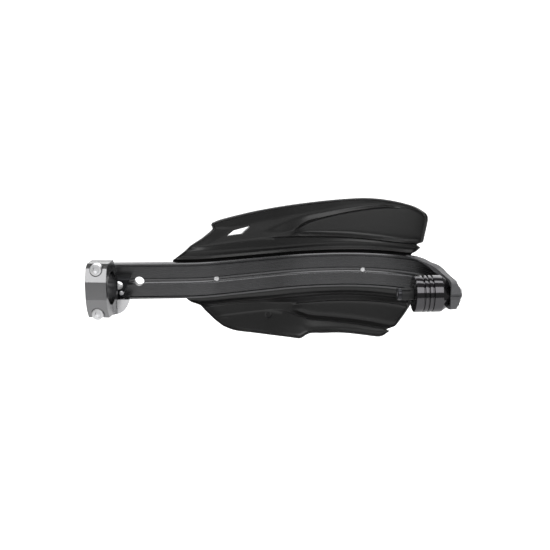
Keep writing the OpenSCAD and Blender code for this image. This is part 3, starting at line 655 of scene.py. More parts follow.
# Lines over the shield from its upper to its lower edge, each with points as (s, z) from the outer end
RAILS = [
    ("EDGE", [(83.8, 57.8), (88.6, 60.6), (95.5, 63.5), (114.7, 67.1), (133.5, 68.7), (152.3, 68.1),
              (190.6, 64.7), (227.4, 61.1), (247.7, 58.6), (277.3, 53.3), (284.4, 50.9)]),
    ("GROOVE", [(82.3, 55.5), (86.8, 58.4), (95.5, 61.3), (114.7, 64.8), (133.5, 66.4), (152.3, 65.8),
                (190.6, 62.4), (227.4, 58.8), (247.7, 56.3), (277.3, 51), (286, 48.8)]),
    ("CREASE", [(82, 54.2), (90, 58.4), (100, 61.3), (112, 63.2), (125, 64.3), (133, 64.1), (152, 62),
                (171.4, 59), (188.2, 56.3), (199.6, 54.5), (218.8, 52.2), (233.8, 50.4), (246.8, 48),
                (260, 46.6), (284.9, 46.8)]),
    ("SLOPE", [(82, 52.6), (90, 57), (100, 60), (112, 62), (125, 62.9), (144, 60.6), (162, 57.5),
               (180.6, 54.6), (194.7, 52.5), (204.2, 50.3), (213.7, 47), (223.2, 43), (233.2, 41.5),
               (250, 42.8), (283.8, 45)]),
    ("CREST", [(82.3, 50.8), (90, 55.4), (100, 58.7), (112, 60.8), (125.8, 60.6), (143.9, 57.8),
               (161.9, 54.3), (180.4, 50.2), (191.6, 48), (197.2, 45.4), (201.8, 42), (206.5, 39.4),
               (218, 38), (233.2, 38.8), (250, 40), (287.5, 42.2)]),
    ("PANEL", [(82.9, 48.4), (90, 53.2), (100, 56.9), (112, 59.3), (125.8, 58.9), (143.9, 55.8),
               (161.8, 52.1), (180.3, 47.7), (189.6, 44.8), (196.1, 41.5), (201.7, 39.4), (206.5, 38.3),
               (218, 37), (233.2, 37.5), (250, 38.4), (291, 39.9)]),
    ("PANEL", [(84.3, 43), (96, 47.5), (112, 50.5), (130, 50.3), (151, 48), (171, 44.6), (186, 41.4),
               (196, 39.2), (203, 38), (218, 36.3), (233, 36.5), (260, 37), (295.3, 37.1)]),
    ("PANEL", [(85.9, 37), (100, 39.2), (120, 40.8), (151, 40.4), (180, 38.6), (196, 37.6), (206, 37),
               (218, 35.7), (233, 35.7), (260, 35.8), (299, 35.1)]),
    ("PANEL", [(87, 31.6), (107.6, 31), (121.2, 31.8), (134.6, 33.1), (152.3, 34.7), (179.9, 36),
               (200, 36.2), (206.5, 36), (218, 35), (233, 34.9), (260, 34.6), (303, 33)]),
    ("FAN", [(87.8, 29.3), (107.5, 27.9), (125.6, 28.7), (143.3, 29.9), (161.2, 31.2), (179.7, 32.2),
             (208, 33.5), (233, 33.9), (260, 33.3), (307.8, 30.4)]),
    ("LOW", [(94.3, 26.7), (107, 26.2), (116.6, 26.5), (134.5, 27.6), (152.2, 28.7), (170.4, 29.7),
             (198.6, 31), (233.1, 32.1), (260, 31.4), (310.5, 28.2)]),
    ("LINE", [(89.6, 24.3), (107.5, 24.6), (121, 25.2), (156.5, 25.7), (179.6, 24.7), (208, 23.5),
              (238, 23.8), (277.9, 25), (313.5, 25.8)]),
    ("LOW", [(92.2, 21.3), (107.4, 21.4), (134.3, 21.8), (156.5, 21.7), (179.5, 21.4), (208, 20.9),
             (238, 20.5), (268, 20.5), (319.5, 21.1)]),
    ("RIB", [(94.8, 18.7), (107.3, 18.6), (134.3, 18.8), (156.4, 18.7), (179.5, 18.5), (208, 18.3),
             (268, 18.3), (323, 18.4)]),
    ("BAND", [(99, 16.9), (325.5, 16.9)]),
    ("BAND", [(98.5, -16.9), (314.5, -16.9)]),
    ("BAND", [(98, -20.5), (150, -20), (312, -19.9)]),
    ("VALLEY", [(97.7, -23.4), (115.2, -23.4), (142.3, -22.8), (169.6, -22.8), (198.1, -23.2),
                (227.9, -23.4), (258.6, -22.6), (308, -22.3)]),
    ("LINE", [(97.3, -25.6), (115, -25.6), (142.2, -24.9), (169.6, -24.9), (198, -25.6), (227.9, -25.7),
              (258, -24.5), (303, -23.9)]),
    ("VALLEY", [(96.8, -28.1), (115, -28.1), (142.2, -27.3), (169.5, -27.3), (198.1, -28.1),
                (230, -27.8), (260, -26.3), (298.7, -25.6)]),
    ("FAN", [(96.3, -32), (119.5, -31.3), (142.1, -31.2), (169.5, -31.4), (198.2, -32.1),
             (217.8, -31.2), (236, -29.4), (260, -28.1), (297.2, -27.4)]),
    ("PANEL", [(97.5, -34.8), (119.4, -33.4), (142, -33.2), (169.5, -33.3), (198.2, -34), (208, -34),
               (218, -32.7), (236, -30.9), (260, -29.7), (295.6, -29.1)]),
    ("PANEL", [(101.7, -43.2), (120, -42), (151, -40), (180, -38.2), (198, -36.2), (208, -35.2),
               (218, -33.8), (236, -32.2), (260, -31.2), (294, -30.8)]),
    ("PANEL", [(106, -50.4), (113.6, -51), (123.1, -50.2), (141.6, -48.2), (160.1, -46), (179.1, -44.2),
               (190.6, -41.7), (203.2, -37.5), (215.9, -35), (236, -33.5), (260, -32.8), (292.2, -32.6)]),
    ("STEP", [(108.5, -54.8), (119.1, -54.6), (132.3, -53), (150.8, -51), (169.6, -48.8),
              (188.8, -46), (198.4, -42), (208.1, -38.6), (219.8, -36), (236, -34.9), (260, -34.5),
              (290.3, -34.4)]),
    ("FAN", [(114.8, -57.7), (119.9, -57.2), (132.2, -55.8), (150.8, -53.4), (169.6, -51),
             (188.8, -48.6), (198.5, -44.8), (208.2, -41), (220, -37.4), (236, -36.3), (260, -36.2),
             (288.5, -36.3)]),
    ("LOW", [(117.5, -59.1), (132.1, -57.8), (150.8, -55.3), (169.6, -52.9), (188.9, -50.5),
             (198.5, -47), (208.2, -43), (223, -39), (236, -38), (260, -38), (286.6, -38.2)]),
    ("CREASE", [(115.4, -59.7), (125, -61.6), (132, -61.2), (150.8, -59.4), (169.7, -58.4),
                (189.1, -57), (198, -56), (208.8, -54), (234, -48.4), (259.4, -43.6), (276, -41.2),
                (284.5, -40.2)]),
    ("GROOVE", [(113.5, -60.1), (118, -62.3), (123.3, -64.2), (139.9, -63.4), (159.2, -61.8),
                (178.9, -61.2), (189.3, -60.6), (194.5, -62.3), (199.2, -64.8), (206.8, -63.5),
                (227.5, -58.9), (248.2, -54), (266.5, -49.6), (279.5, -44.6)]),
    ("EDGE", [(116.7, -62.8), (119.5, -65.2), (123.3, -66.5), (139.9, -65.6), (159.2, -64),
              (178.9, -63.4), (189.3, -62.8), (194.5, -64.5), (199.2, -67.2), (206.8, -65.8),
              (227.5, -61.1), (248.2, -56.2), (266.5, -51.8), (277, -46.7)]),
]


def halfway(a, b):
    """Line halfway between two lines that have as many points."""
    return [((s0 + s1) / 2, (z0 + z1) / 2) for (s0, z0), (s1, z1) in zip(a[1], b[1])]


# The rim's bead runs between the edge and the groove inside it
RAILS.insert(1, ("BEAD", halfway(RAILS[0], RAILS[1])))
RAILS.insert(-1, ("BEAD", halfway(RAILS[-1], RAILS[-2])))
# How sharp each kind of line stays when the mesh is smoothed
CREASES = {"EDGE": 0.4, "BEAD": 0.3, "GROOVE": 0.9, "CREASE": 0.7, "SLOPE": 0.6, "CREST": 0.75,
           "PANEL": 0.35, "FAN": 0.75, "LOW": 0.7, "LINE": 0.9, "RIB": 0.7, "BAND": 0.7, "VALLEY": 0.7,
           "STEP": 0.8}

# Outline of the vent, as (s, z), its middle and the rounding of its corners
VENT = [(271.3, 37.8), (264.8, 42.5), (247.6, 45.7), (255.9, 38.7)]
VENT_S = 262
VENT_ROUND = 0.4
SEAT_DEEP = 0.6
SEAT_D = 13
# A blank round mark left by the mould on the lower wing, as (s, z), with its ring's radii and depth
MARK = (230.1, -41.6)
MARK_RADII = (2.1, 3.6)
MARK_DEEP = 0.9


def relief(kind, s, rib, panel, rim):
    """How far a line stands forward of the plain wing; a rib stands back towards the rider."""
    fan = 1 - ease((s - FAN_FULL) / (FAN_NONE - FAN_FULL))
    run = ease((s - RUN_NONE) / (RUN_FULL - RUN_NONE))
    point = ease((s - POINT_FROM) / (POINT_TO - POINT_FROM))
    return {
        "GROOVE": rim / 2,
        "CREASE": panel / 2 * (1 - run),
        "SLOPE": panel * (1 - run),
        "CREST": mix(panel, -rib * fan, run),
        "FAN": -rib * fan,
        "RIB": -rib * 0.8,
        "PANEL": mix(panel, -rib * fan, point),
        "STEP": mix(1.6 * panel, -rib * fan, point),
        "LOW": rim / 3,
        "LINE": -rim / 2,
        "VALLEY": rim,
    }.get(kind, 0.0)


def border(s, z, end, top):
    """Lean of the border along the wings' edges."""
    inside = min(abs(top - z), (END_SKEW if z > 0 else 1) * (end - s))
    start, full = BORDER_S
    return math.copysign(BORDER_LEAN * max(0, BORDER_WIDTH - inside), z) * ease((s - start) / (full - start))


def wing_u(z):
    """Plain wing's distance in front of the backbone's rear face."""
    return BAND_U - WING_CURVE * max(abs(z) - BAND_HALF, 0) ** 2


def shield_point(station, rail, forward, sizes):
    """A point of the shield, the given way forward of its rear face."""
    kind, points = RAILS[rail]
    edge = RIM_WIDTH / WING_LENGTH
    near = min(station, STATIONS - station)
    share = edge + (1 - 2 * edge) * (station - RIM_STATIONS) / (STATIONS - 2 * RIM_STATIONS)
    if near < RIM_STATIONS:
        share = near * edge / RIM_STATIONS
        share = share if station == near else 1 - share
    end = points[-1][0]
    s = points[0][0] + (end - points[0][0]) * share
    z = curve(points, s)
    rim = sizes.rim_height / MM
    if kind != "BAND" and (kind == "EDGE" or near == 0):
        u = -rim / 3
    elif kind != "BAND" and (kind == "BEAD" or near == 1):
        u = -rim
    else:
        u = relief(kind, s, sizes.rib_height / MM, sizes.panel_depth / MM, rim)
    if abs(z) > BORDER_Z:
        u += border(s, z, end, curve(RAILS[0 if z > 0 else -1][1], s))
    return at(s, wing_u(z) + u + forward, z)


class GUARD_OT_shield(bpy.types.Operator):
    """Moulds the winged shield with its ribs, panels, rim, vent and screw seats"""
    bl_idname = "guard.shield"
    bl_label = "Shield"

    def execute(self, context):
        sizes = context.scene.guard_sizes
        wall = sizes.shield_wall / MM
        rails = len(RAILS) - 1
        bm = bmesh.new()
        bmesh.ops.create_grid(bm, x_segments=STATIONS, y_segments=rails, size=1)
        station = bm.verts.layers.int.new("station")
        rail = bm.verts.layers.int.new("rail")
        for v in bm.verts:
            v[station] = round((v.co.x + 1) / 2 * STATIONS)
            v[rail] = round((1 - v.co.y) / 2 * rails)
        crease = bm.edges.layers.float.new("crease_edge")
        for e in bm.edges:
            a, b = e.verts
            if a[rail] == b[rail]:
                e[crease] = CREASES[RAILS[a[rail]][0]]
            elif a[station] == b[station]:
                near = min(a[station], STATIONS - a[station])
                e[crease] = CREASES[("EDGE", "BEAD", "GROOVE")[near]] if near < 3 else 0
        grown = bmesh.ops.extrude_face_region(bm, geom=bm.faces[:])
        front = {v for v in grown["geom"] if isinstance(v, bmesh.types.BMVert)}
        for v in bm.verts:
            v.co = shield_point(v[station], v[rail], wall if v in front else 0, sizes)
        bmesh.ops.recalc_face_normals(bm, faces=bm.faces[:])

        def smooth(obj):
            subdivide = obj.modifiers.new("Smooth", "SUBSURF")
            subdivide.levels = subdivide.render_levels = 2

        bm = worked(bm, smooth)
        vent = prism([(-OVER, s - VENT_S, z) for s, z in VENT], (2 * OVER, 0, 0),
                     dict.fromkeys(range(len(VENT)), VENT_ROUND))
        tools = [moved(vent, on_bar(VENT_S))]
        seat_u = BAND_U + wall - SEAT_DEEP
        bore = (SHIELD_SCREW.d + CLEAR) / 2
        for s in SCREW_S:
            hole = turned([(0, BAND_U - OVER), (bore, BAND_U - OVER), (bore, seat_u), (SEAT_D / 2, seat_u),
                           (SEAT_D / 2, OVER), (0, OVER)])
            tools.append(moved(hole, on_bar(s) @ TO_X))
        s, z = MARK
        inner, outer = MARK_RADII
        ring = turned([(inner, -MARK_DEEP), (outer, -MARK_DEEP), (outer, 2), (inner, 2)],
                      {0: 0.2, 1: 0.2}, 48)
        lean = math.atan(2 * WING_CURVE * (abs(z) - BAND_HALF))
        facing = on_bar(s).to_3x3().to_4x4() @ Matrix.Rotation(-math.pi / 2 - lean, 4, "Y")
        tools.append(moved(ring, Matrix.Translation(at(s, wing_u(z), z)) @ facing))
        bm = carved(bm, [gathered(*tools)])
        keep(bm, "shield", "guard", finish(moulded_plastic), ["wing_shield"], sharp=40)
        return {"FINISHED"}


# The end guard

GUARD_END_S = BEND_END_S - 1
NOSE_STATIONS = [0, 1, 2.4, 4, 6, 9, 14, 19, 24, 31, 38, 46, 50]
# At its end the nose's lower half has this share of its upper half's height, and all of it at NOSE_END_S
NOSE_LOW = 0.88
NOSE_END_S = 24
# Lines along the guard's upper half, each with points as (s, value): the height of the flange's rear edge,
# of its ridge and of its front edge, and how far the ridge and the front edge stand outward
REAR_Z = [(0, 11.4), (2, 12.6), (8, 13.4), (36, 12.9), (62, 12.8), (80, 14.2), (94, 17), (99.1, 17.4)]
RIDGE_Z = [(0, 11.2), (2, 12.4), (8, 13.4), (30, 13), (52, 13.2), (56, 14.6), (72, 14.3), (86, 15.9),
           (97.5, 16.9), (99.1, 17)]
FRONT_Z = [(0, 5.8), (6, 7.3), (14, 8.1), (24, 8.2), (56, 8), (66, 10.6), (72, 11.5), (79, 12.2),
           (90, 14.4), (99.1, 15.6)]
RIDGE_U = [(0, 5.2), (9, 4), (99.1, 4)]
FRONT_U = [(0, 7.2), (6, 7.8), (14, 8.9), (24, 10.6), (99.1, 10.6)]
FACE_Z = [(0, 0.5), (8, 4.5), (24, 6), (56, 6), (99.1, 13.6)]
FACE_U = [(0, 9.4), (8, 10.3), (24, 11.2), (99.1, 11.2)]
# The gap round the backbone, and the cavity's section as (u, z from the backbone's edge)
GAP = 0.3
CAVITY = [(-7.5, GAP), (0, GAP), (6.65, GAP), (8.3, -1.35)]
# The nick in the peaked face as (x, z), how far it reaches along Y, and half the width of the rear one
FACE_NICK = [(36.6, -2), (40.5, 1.2), (40.5, -5.2)]
FACE_NICK_Y = -6.8
REAR_NICK = 2.8
RECESS_D = 13.4


def between(points, s):
    """Straight lines through points that run in rising s."""
    for (s0, a), (s1, b) in zip(points, points[1:]):
        if s <= s1:
            break
    return mix(a, b, (s - s0) / (s1 - s0))


def guard_point(corner, s):
    """One of the eight corners of the end guard's outside; the last four mirror the first ones."""
    k = min(corner, 7 - corner)
    u = (0, between(RIDGE_U, s), between(FRONT_U, s), between(FACE_U, s))[k]
    z = between((REAR_Z, RIDGE_Z, FRONT_Z, FACE_Z)[k], s)
    return at(s, u, z if corner < 4 else -z * mix(NOSE_LOW, 1, ease(s / NOSE_END_S)))


def cavity_point(corner, s):
    """One of the eight corners of the room that the end guard leaves for the backbone."""
    u, above = CAVITY[min(corner, 7 - corner)]
    p = at(s, u, 0)
    share = max(0, min(1, (p.y - TAPER_Y[0]) / (TAPER_Y[1] - TAPER_Y[0])))
    p.z = math.copysign(mix(TAB_HEIGHT / 2, bar_half(), share) + above, 3.5 - corner)
    return p


class GUARD_OT_end_guard(bpy.types.Operator):
    """Moulds the end guard: a shell round the end tab with a peaked, nicked nose"""
    bl_idname = "guard.end_guard"
    bl_label = "End guard"

    def execute(self, context):
        bend = [s for s in path_stations(3) if PATH[0][0] <= s < GUARD_END_S]
        shell = extruded(8, NOSE_STATIONS + bend + [GUARD_END_S], guard_point)
        cavity = extruded(8, [NOSE_WALL - GAP] + bend + [GUARD_END_S, BEND_END_S + 6], cavity_point)
        face_nick = prism([(x, NOSE_Y - 6, z) for x, z in FACE_NICK], (0, FACE_NICK_Y - NOSE_Y + 6, 0))
        rear_nick = prism([(-1, NOSE_Y, -REAR_NICK), (-1, NOSE_Y + REAR_NICK, 0), (-1, NOSE_Y, REAR_NICK),
                           (-1, NOSE_Y - REAR_NICK, 0)], (2 * OVER, 0, 0))
        recess = rod((TAB_X, 0, 0), (1, 0, 0), RECESS_D, OVER)
        keep(carved(shell, [cavity, face_nick, rear_nick, recess]), "end_guard_cover", "guard",
             finish(grained_nylon), ["end_guard"], edge=0.5, sharp=20)
        return {"FINISHED"}


# The bar end

WEIGHT_L = 29
WEIGHT_CONE_L = 6.2
WEIGHT_CONE_D = 22.8
GROOVES = 3
GROOVE_AT = 7
GROOVE_PITCH = 3.9
GROOVE_W = 1.4
GROOVE_DEEP = 1.3
SLEEVE_D = 10.4
SLEEVE_BORE_D = 7
SLEEVE_L = 10.5
SLOT_W = 1
# The cone nut's taper from its tip to the sleeve's end, and the nut's end
CONE_L = 4
CONE_D = 9.2
CONE_TIP_D = 7.8
CONE_END = 13.9


class GUARD_OT_weight(bpy.types.Operator):
    """Turns the grooved bar end weight"""
    bl_idname = "guard.weight"
    bl_label = "Bar end weight"

    def execute(self, context):
        r = context.scene.guard_sizes.weight_diameter / MM / 2
        bore = (END_BOLT.d + CLEAR) / 2
        points = [(bore, 0), (r, 0)]
        radii = {1: 0.6}
        for i in range(GROOVES):
            z = GROOVE_AT + i * GROOVE_PITCH
            first = len(points)
            points += [(r, z - GROOVE_W / 2), (r - GROOVE_DEEP, z - GROOVE_W / 4),
                       (r - GROOVE_DEEP, z + GROOVE_W / 4), (r, z + GROOVE_W / 2)]
            radii.update({first: 0.25, first + 1: 0.2, first + 2: 0.2, first + 3: 0.25})
        first = len(points)
        points += [(r, WEIGHT_L - WEIGHT_CONE_L), (WEIGHT_CONE_D / 2, WEIGHT_L), (bore, WEIGHT_L)]
        radii.update({first: 0.5, first + 1: 0.5, first + 2: 0.3, 0: 0.3})
        keep(moved(turned(points, radii, 128), TO_X), "grooved_weight", "guard",
             finish(turned_weight), ["bar_end_weight"])
        return {"FINISHED"}


class GUARD_OT_expander(bpy.types.Operator):
    """Makes the slotted rubber sleeve and the cone nut that spreads it"""
    bl_idname = "guard.expander"
    bl_label = "Expander"

    def execute(self, context):
        bore = SLEEVE_BORE_D / 2
        tip_z = SLEEVE_L - CONE_L
        sleeve = turned([(bore, 0), (SLEEVE_D / 2, 0), (SLEEVE_D / 2, SLEEVE_L), (CONE_D / 2 + 0.1, SLEEVE_L),
                         (CONE_TIP_D / 2 + 0.1, tip_z), (bore, tip_z)], {1: 0.3, 2: 0.3})
        slots = []
        for angle in (45, 135):
            slot = block((-OVER, -SLOT_W / 2, SLEEVE_L / 3), (OVER, SLOT_W / 2, SLEEVE_L + 5))
            slots.append(moved(slot, Matrix.Rotation(math.radians(angle), 4, "Z")))
        sleeve = carved(sleeve, slots)
        keep(moved(sleeve, TO_MINUS_X), "slotted_sleeve", "guard", finish(black_rubber),
             ["expander_sleeve"], edge=0.15)
        thread = (END_BOLT.d + THREADED) / 2
        nut = turned([(thread, tip_z), (CONE_TIP_D / 2, tip_z), (CONE_D / 2, SLEEVE_L),
                      (SLEEVE_D / 2, SLEEVE_L), (SLEEVE_D / 2, CONE_END), (thread, CONE_END)],
                     {3: 0.3, 4: 0.5, 5: 0.4})
        keep(moved(nut, TO_MINUS_X), "cone_nut", "guard", finish(grey_aluminium),
             ["expander_cone"])
        return {"FINISHED"}


# Fasteners

# A screw's tip is bevelled this much, and its thread is this share of the pitch deep
TIP = 0.6
THREAD_DEEP = 0.55
# The socket is this share of the head's height deep
SOCKET_DEEP = 0.6
WASHER_D = 12
END_WASHER_D = 12.4
WASHER_L = 1
# The washers stand this far off the shield's seats
SEAT_GAP = 0.05
# The link is this deep behind the bar's root, and its screws end this far past it
LINK_DEEP = 11
LINK_SCREW_PAST = 0.8


def socket_screw(screw, length, thread_l):
    """Screw along +Z with its head below zero, a hexagon socket and thread rings near its tip."""
    r, head_r, head_l, key = screw.d / 2, screw.head_d / 2, screw.head_l, screw.key
    points = [(0, -head_l), (head_r, -head_l), (head_r, 0), (r, 0)]
    radii = {1: min(0.5, head_l * 0.15), 2: 0.15}
    z = length - TIP - thread_l
    while z + screw.pitch <= length - TIP + 1e-6:
        points += [(r, z), (r - THREAD_DEEP * screw.pitch, z + screw.pitch / 2)]
        z += screw.pitch
    points += [(r, length - TIP), (r - TIP, length), (0, length)]
    hexagon = rod((0, 0, -head_l - 1), (0, 0, 1), key / math.cos(math.pi / 6), head_l * SOCKET_DEEP + 1, 6)
    mouth = turned([(0, -head_l - 0.5), (key / 2 + 0.9, -head_l - 0.5), (key / 2 + 0.1, -head_l + 0.3),
                    (0, -head_l + 0.3)])
    return carved(turned(points, radii, 48), [hexagon, mouth])


def washer(d, screw):
    """Washer along +Z for a screw, with its edges rounded by tumbling."""
    bore = screw.d + CLEAR
    return turned([(bore / 2, 0), (d / 2, 0), (d / 2, WASHER_L), (bore / 2, WASHER_L)],
                  dict.fromkeys(range(4), WASHER_L / 4))


def keep_plated(bm, matrix, name, body, node, edge=0.0):
    """Moves a zinc-plated piece to its place and keeps it for its node."""
    keep(moved(bm, matrix), name, body, finish(zinc_plate), [node], edge)


class GUARD_OT_fasteners(bpy.types.Operator):
    """Makes the shield's screws and washers, the bar end bolt and the link's screws"""
    bl_idname = "guard.fasteners"
    bl_label = "Screws and washers"

    def execute(self, context):
        sizes = context.scene.guard_sizes
        thick = sizes.bar_thickness / MM
        washer_u = BAND_U + sizes.shield_wall / MM - SEAT_DEEP + SEAT_GAP
        head_u = washer_u + WASHER_L
        for name, s in zip(("outer", "inner"), SCREW_S):
            keep_plated(socket_screw(SHIELD_SCREW, head_u - TIP, thread_l=4),
                        on_bar(s) @ Matrix.Translation((head_u, 0, 0)) @ TO_MINUS_X,
                        "screw_shield_" + name, "guard", "shield_screw_" + name)
            keep_plated(washer(WASHER_D, SHIELD_SCREW),
                        on_bar(s) @ Matrix.Translation((washer_u, 0, 0)) @ TO_X,
                        "washer_shield_" + name, "guard", "shield_washer_" + name)
        washer_x = TAB_X + thick
        head_x = washer_x + WASHER_L
        keep_plated(socket_screw(END_BOLT, head_x + CONE_END - TIP, thread_l=9),
                    Matrix.Translation((head_x, 0, 0)) @ TO_MINUS_X, "bolt_bar_end", "guard", "bar_end_bolt")
        keep_plated(washer(END_WASHER_D, END_BOLT), Matrix.Translation((washer_x, 0, 0)) @ TO_X,
                    "washer_bar_end", "guard", "bar_end_washer")
        back = Matrix.Rotation(math.pi / 2, 4, "X")
        for name, (x, z) in zip(("lower", "hidden"), LINK_SCREWS):
            keep_plated(socket_screw(LINK_SCREW, thick + LINK_DEEP + LINK_SCREW_PAST, thread_l=2.8),
                        Matrix.Translation((x, PATH_END[1] + thick, z)) @ back,
                        "screw_link_" + name, "guard", "link_screw_" + name)
        return {"FINISHED"}


# The handlebar clamp

# The clamp stands about the handlebar here, turned a little about Z
CLAMP = Matrix.Translation((-265.5, 21.5, 3.3)) @ Matrix.Rotation(math.radians(-7), 4, "Z")
CLAMP_L = 18
TUBE_D = 28.6
# Where the bolts' heads sit and where the bolts end, along the clamp's Y
BOLT_SEAT = -10.5
BOLT_END = 9
BOLT_PITCH = 38.4
# Sections of the near and the far half, as (y, z)
NEAR_HALF = [(-0.4, 23.2), (-9, 23.2), (-14.3, 20.1), (-18.6, 9.2), (-18.6, -6), (-16.4, -15.5),
             (-11.5, -23.2), (-0.4, -23.2)]
FAR_HALF = [(0.4, 23.2), (7.5, 23.2), (16.6, 11.5), (18.6, 4), (18.6, -9), (14.6, -17), (8, -23.2),
            (0.4, -23.2)]
PIVOT = (-264, PATH_END[1] - 8)
LUG_R = 7.4
LUG_SIDE = 19.2
LUG_ROUND = 12
LUG_TOP = -11.7
LUG_BOTTOM = -24
LUG_FACE_Y = 33.5
# The lug's face leans back this far at its top, and only where it stands clear of the clamp's half
LUG_LEAN = 4.8
LEAN_FROM_X = -254.5


def clamp_half(section):
    """A half of the clamp without its bolt holes, at the clamp's centre."""
    half = prism([(-CLAMP_L / 2, y, z) for y, z in section], (CLAMP_L, 0, 0))
    return carved(half, [rod((-OVER, 0, 0), (1, 0, 0), TUBE_D, 2 * OVER, 144)])


def clamp_lug():
    """The lug under the link, rounded about the swivel and at its lower corner."""
    x, y = PIVOT
    turns = [math.pi * i / 32 for i in range(33)]
    plan = [(x - LUG_R, LUG_FACE_Y), (x + LUG_SIDE, LUG_FACE_Y), (x + LUG_SIDE, y)]
    plan += [(x + LUG_R * math.cos(a), y + LUG_R * math.sin(a)) for a in turns]
    solid = prism([(px, py, LUG_BOTTOM) for px, py in plan], (0, 0, LUG_TOP - LUG_BOTTOM))
    clear_y, above = LUG_FACE_Y - 1.5, LUG_TOP + 0.1
    wedge = [(LUG_FACE_Y, LUG_BOTTOM), (LUG_FACE_Y + LUG_LEAN, above), (clear_y, above),
             (clear_y, LUG_BOTTOM)]
    solid = carved(solid, [prism([(LEAN_FROM_X, py, pz) for py, pz in wedge], (OVER, 0, 0))])
    corner = x + LUG_SIDE - LUG_ROUND
    front = [(x - OVER, LUG_TOP + 1), (x - OVER, LUG_TOP - LUG_ROUND)]
    front += [(corner + LUG_ROUND * math.sin(a / 2), LUG_TOP - LUG_ROUND * math.cos(a / 2)) for a in turns]
    front += [(x + LUG_SIDE, LUG_TOP + 1)]
    return carved(solid, [prism([(px, 0, pz) for px, pz in front], (0, 3 * OVER, 0))], "INTERSECT")


class GUARD_OT_clamp(bpy.types.Operator):
    """Machines the clamp's two halves and makes their bolts"""
    bl_idname = "guard.clamp"
    bl_label = "Handlebar clamp"

    def execute(self, context):
        edge = context.scene.guard_sizes.edge_break / MM
        metal = finish(machined_aluminium)
        heights = (-BOLT_PITCH / 2, BOLT_PITCH / 2)
        threaded = CLAMP_BOLT.d + THREADED
        holes = [moved(rod((0, -OVER, z), (0, 1, 0), threaded, OVER + 10), CLAMP) for z in heights]
        holes.append(rod((*PIVOT, -2 * OVER), (0, 0, 1), SWIVEL_BOLT.d + THREADED, 3 * OVER))
        far = carved(moved(clamp_half(FAR_HALF), CLAMP), [clamp_lug()], "UNION")
        keep(carved(far, holes), "clamp_far_half", "clamp", metal, ["clamp_body"], edge, sharp=8)
        holes = [rod((0, -OVER, z), (0, 1, 0), CLAMP_BOLT.d + CLEAR, 2 * OVER) for z in heights]
        holes += [rod((0, BOLT_SEAT - OVER, z), (0, 1, 0), CLAMP_BOLT.head_d + 1, OVER) for z in heights]
        near = moved(carved(clamp_half(NEAR_HALF), holes), CLAMP)
        keep(near, "clamp_near_half", "clamp", metal, ["clamp_cap"], edge, sharp=8)
        forward = Matrix.Rotation(-math.pi / 2, 4, "X")
        for name, side in (("upper", 1), ("lower", -1)):
            spot = CLAMP @ Matrix.Translation((0, BOLT_SEAT, side * BOLT_PITCH / 2))
            keep_plated(socket_screw(CLAMP_BOLT, BOLT_END - BOLT_SEAT, thread_l=6), spot @ forward,
                        "bolt_clamp_" + name, "clamp", "clamp_bolt_" + name)
        return {"FINISHED"}


# The swivel link

LINK_TOP = 6.2
NUT_L = 5
NUT_KEY = 10


class GUARD_OT_link(bpy.types.Operator):
    """Breaks the link's edges and makes the swivel's bolt, nut and washers"""
    bl_idname = "guard.link"
    bl_label = "Swivel link"

    def execute(self, context):
        left, front = PIVOT[0] - OVER, PATH_END[1] - LINK_DEEP
        chamfer = prism([(left, front - 1, LINK_TOP - 4.1), (left, front - 1, LINK_TOP + 1),
                         (left, front + 2, LINK_TOP + 1)], (2 * OVER, 0, 0))
        # The link's finish carries painted shade: its colour is darker than the clamp's, though both are
        # black anodised
        keep(carved(cad_copy("pivot_link"), [chamfer]), "swivel_link", "guard",
             finish(satin_aluminium_painted_shade), ["pivot_link"], context.scene.guard_sizes.edge_break / MM)
        under_z, over_z = LUG_BOTTOM - WASHER_L, LINK_TOP + 0.1
        nut_z = over_z + WASHER_L
        keep_plated(socket_screw(SWIVEL_BOLT, nut_z + NUT_L + 1 - under_z, thread_l=7),
                    Matrix.Translation((*PIVOT, under_z)), "bolt_swivel", "clamp", "swivel_bolt")
        for name, z in (("bottom", under_z), ("top", over_z)):
            keep_plated(washer(WASHER_D, SWIVEL_BOLT), Matrix.Translation((*PIVOT, z)),
                        "washer_swivel_" + name, "clamp", "swivel_washer_" + name)
        corner = NUT_KEY / 2 / math.cos(math.pi / 6)
        # The dome rounds the hexagon's corners; its ends stand past the nut's, so that none of its faces meet
        dome = [(0, -0.2), (NUT_KEY / 2 - 0.3, -0.2), (corner + 0.3, 0.7)]
        dome += [(r, NUT_L - z) for r, z in reversed(dome)]
        nut = carved(rod((0, 0, 0), (0, 0, 1), 2 * corner, NUT_L, 6), [turned(dome, None, 96)], "INTERSECT")
        nut = carved(nut, [rod((0, 0, -1), (0, 0, 1), SWIVEL_BOLT.d + THREADED, NUT_L + 2)])
        keep_plated(nut, Matrix.Translation((*PIVOT, nut_z)), "nut_swivel", "clamp", "swivel_nut",
                    edge=0.15)
        return {"FINISHED"}


# The studio

# The camera's place, what it looks at and its lens; the studio's sizes are in metres
EYE = Vector((-0.15389, -0.69090, 0.17752))
AIM = Vector((-0.117174, 0.009692, 0.015559))
LENS = 55.44
SENSOR = 36
FLOOR_Z = -0.35
# What the lamps are turned to, and how high the two large ones stand
LAMP_AIM = Vector((-0.12, 0.03, 0))
FRONT_UP = math.radians(36)
REAR_UP = math.radians(34)
# Light that the paper gives off for the camera and in mirror and glass
CAMERA_LIFT = 0.75
MIRROR_LIFT = 0.15


def stage_plane(name, matrix, size_x, size_y):
    """A flat sheet of the studio's paper."""
    bm = bmesh.new()
    bmesh.ops.create_grid(bm, x_segments=1, y_segments=1, size=0.5)
    moved(bm, matrix @ Matrix.Diagonal((size_x, size_y, 1, 1)))
    plane = shown(bm, name)
    plane.data.materials.append(finish(studio_paper))


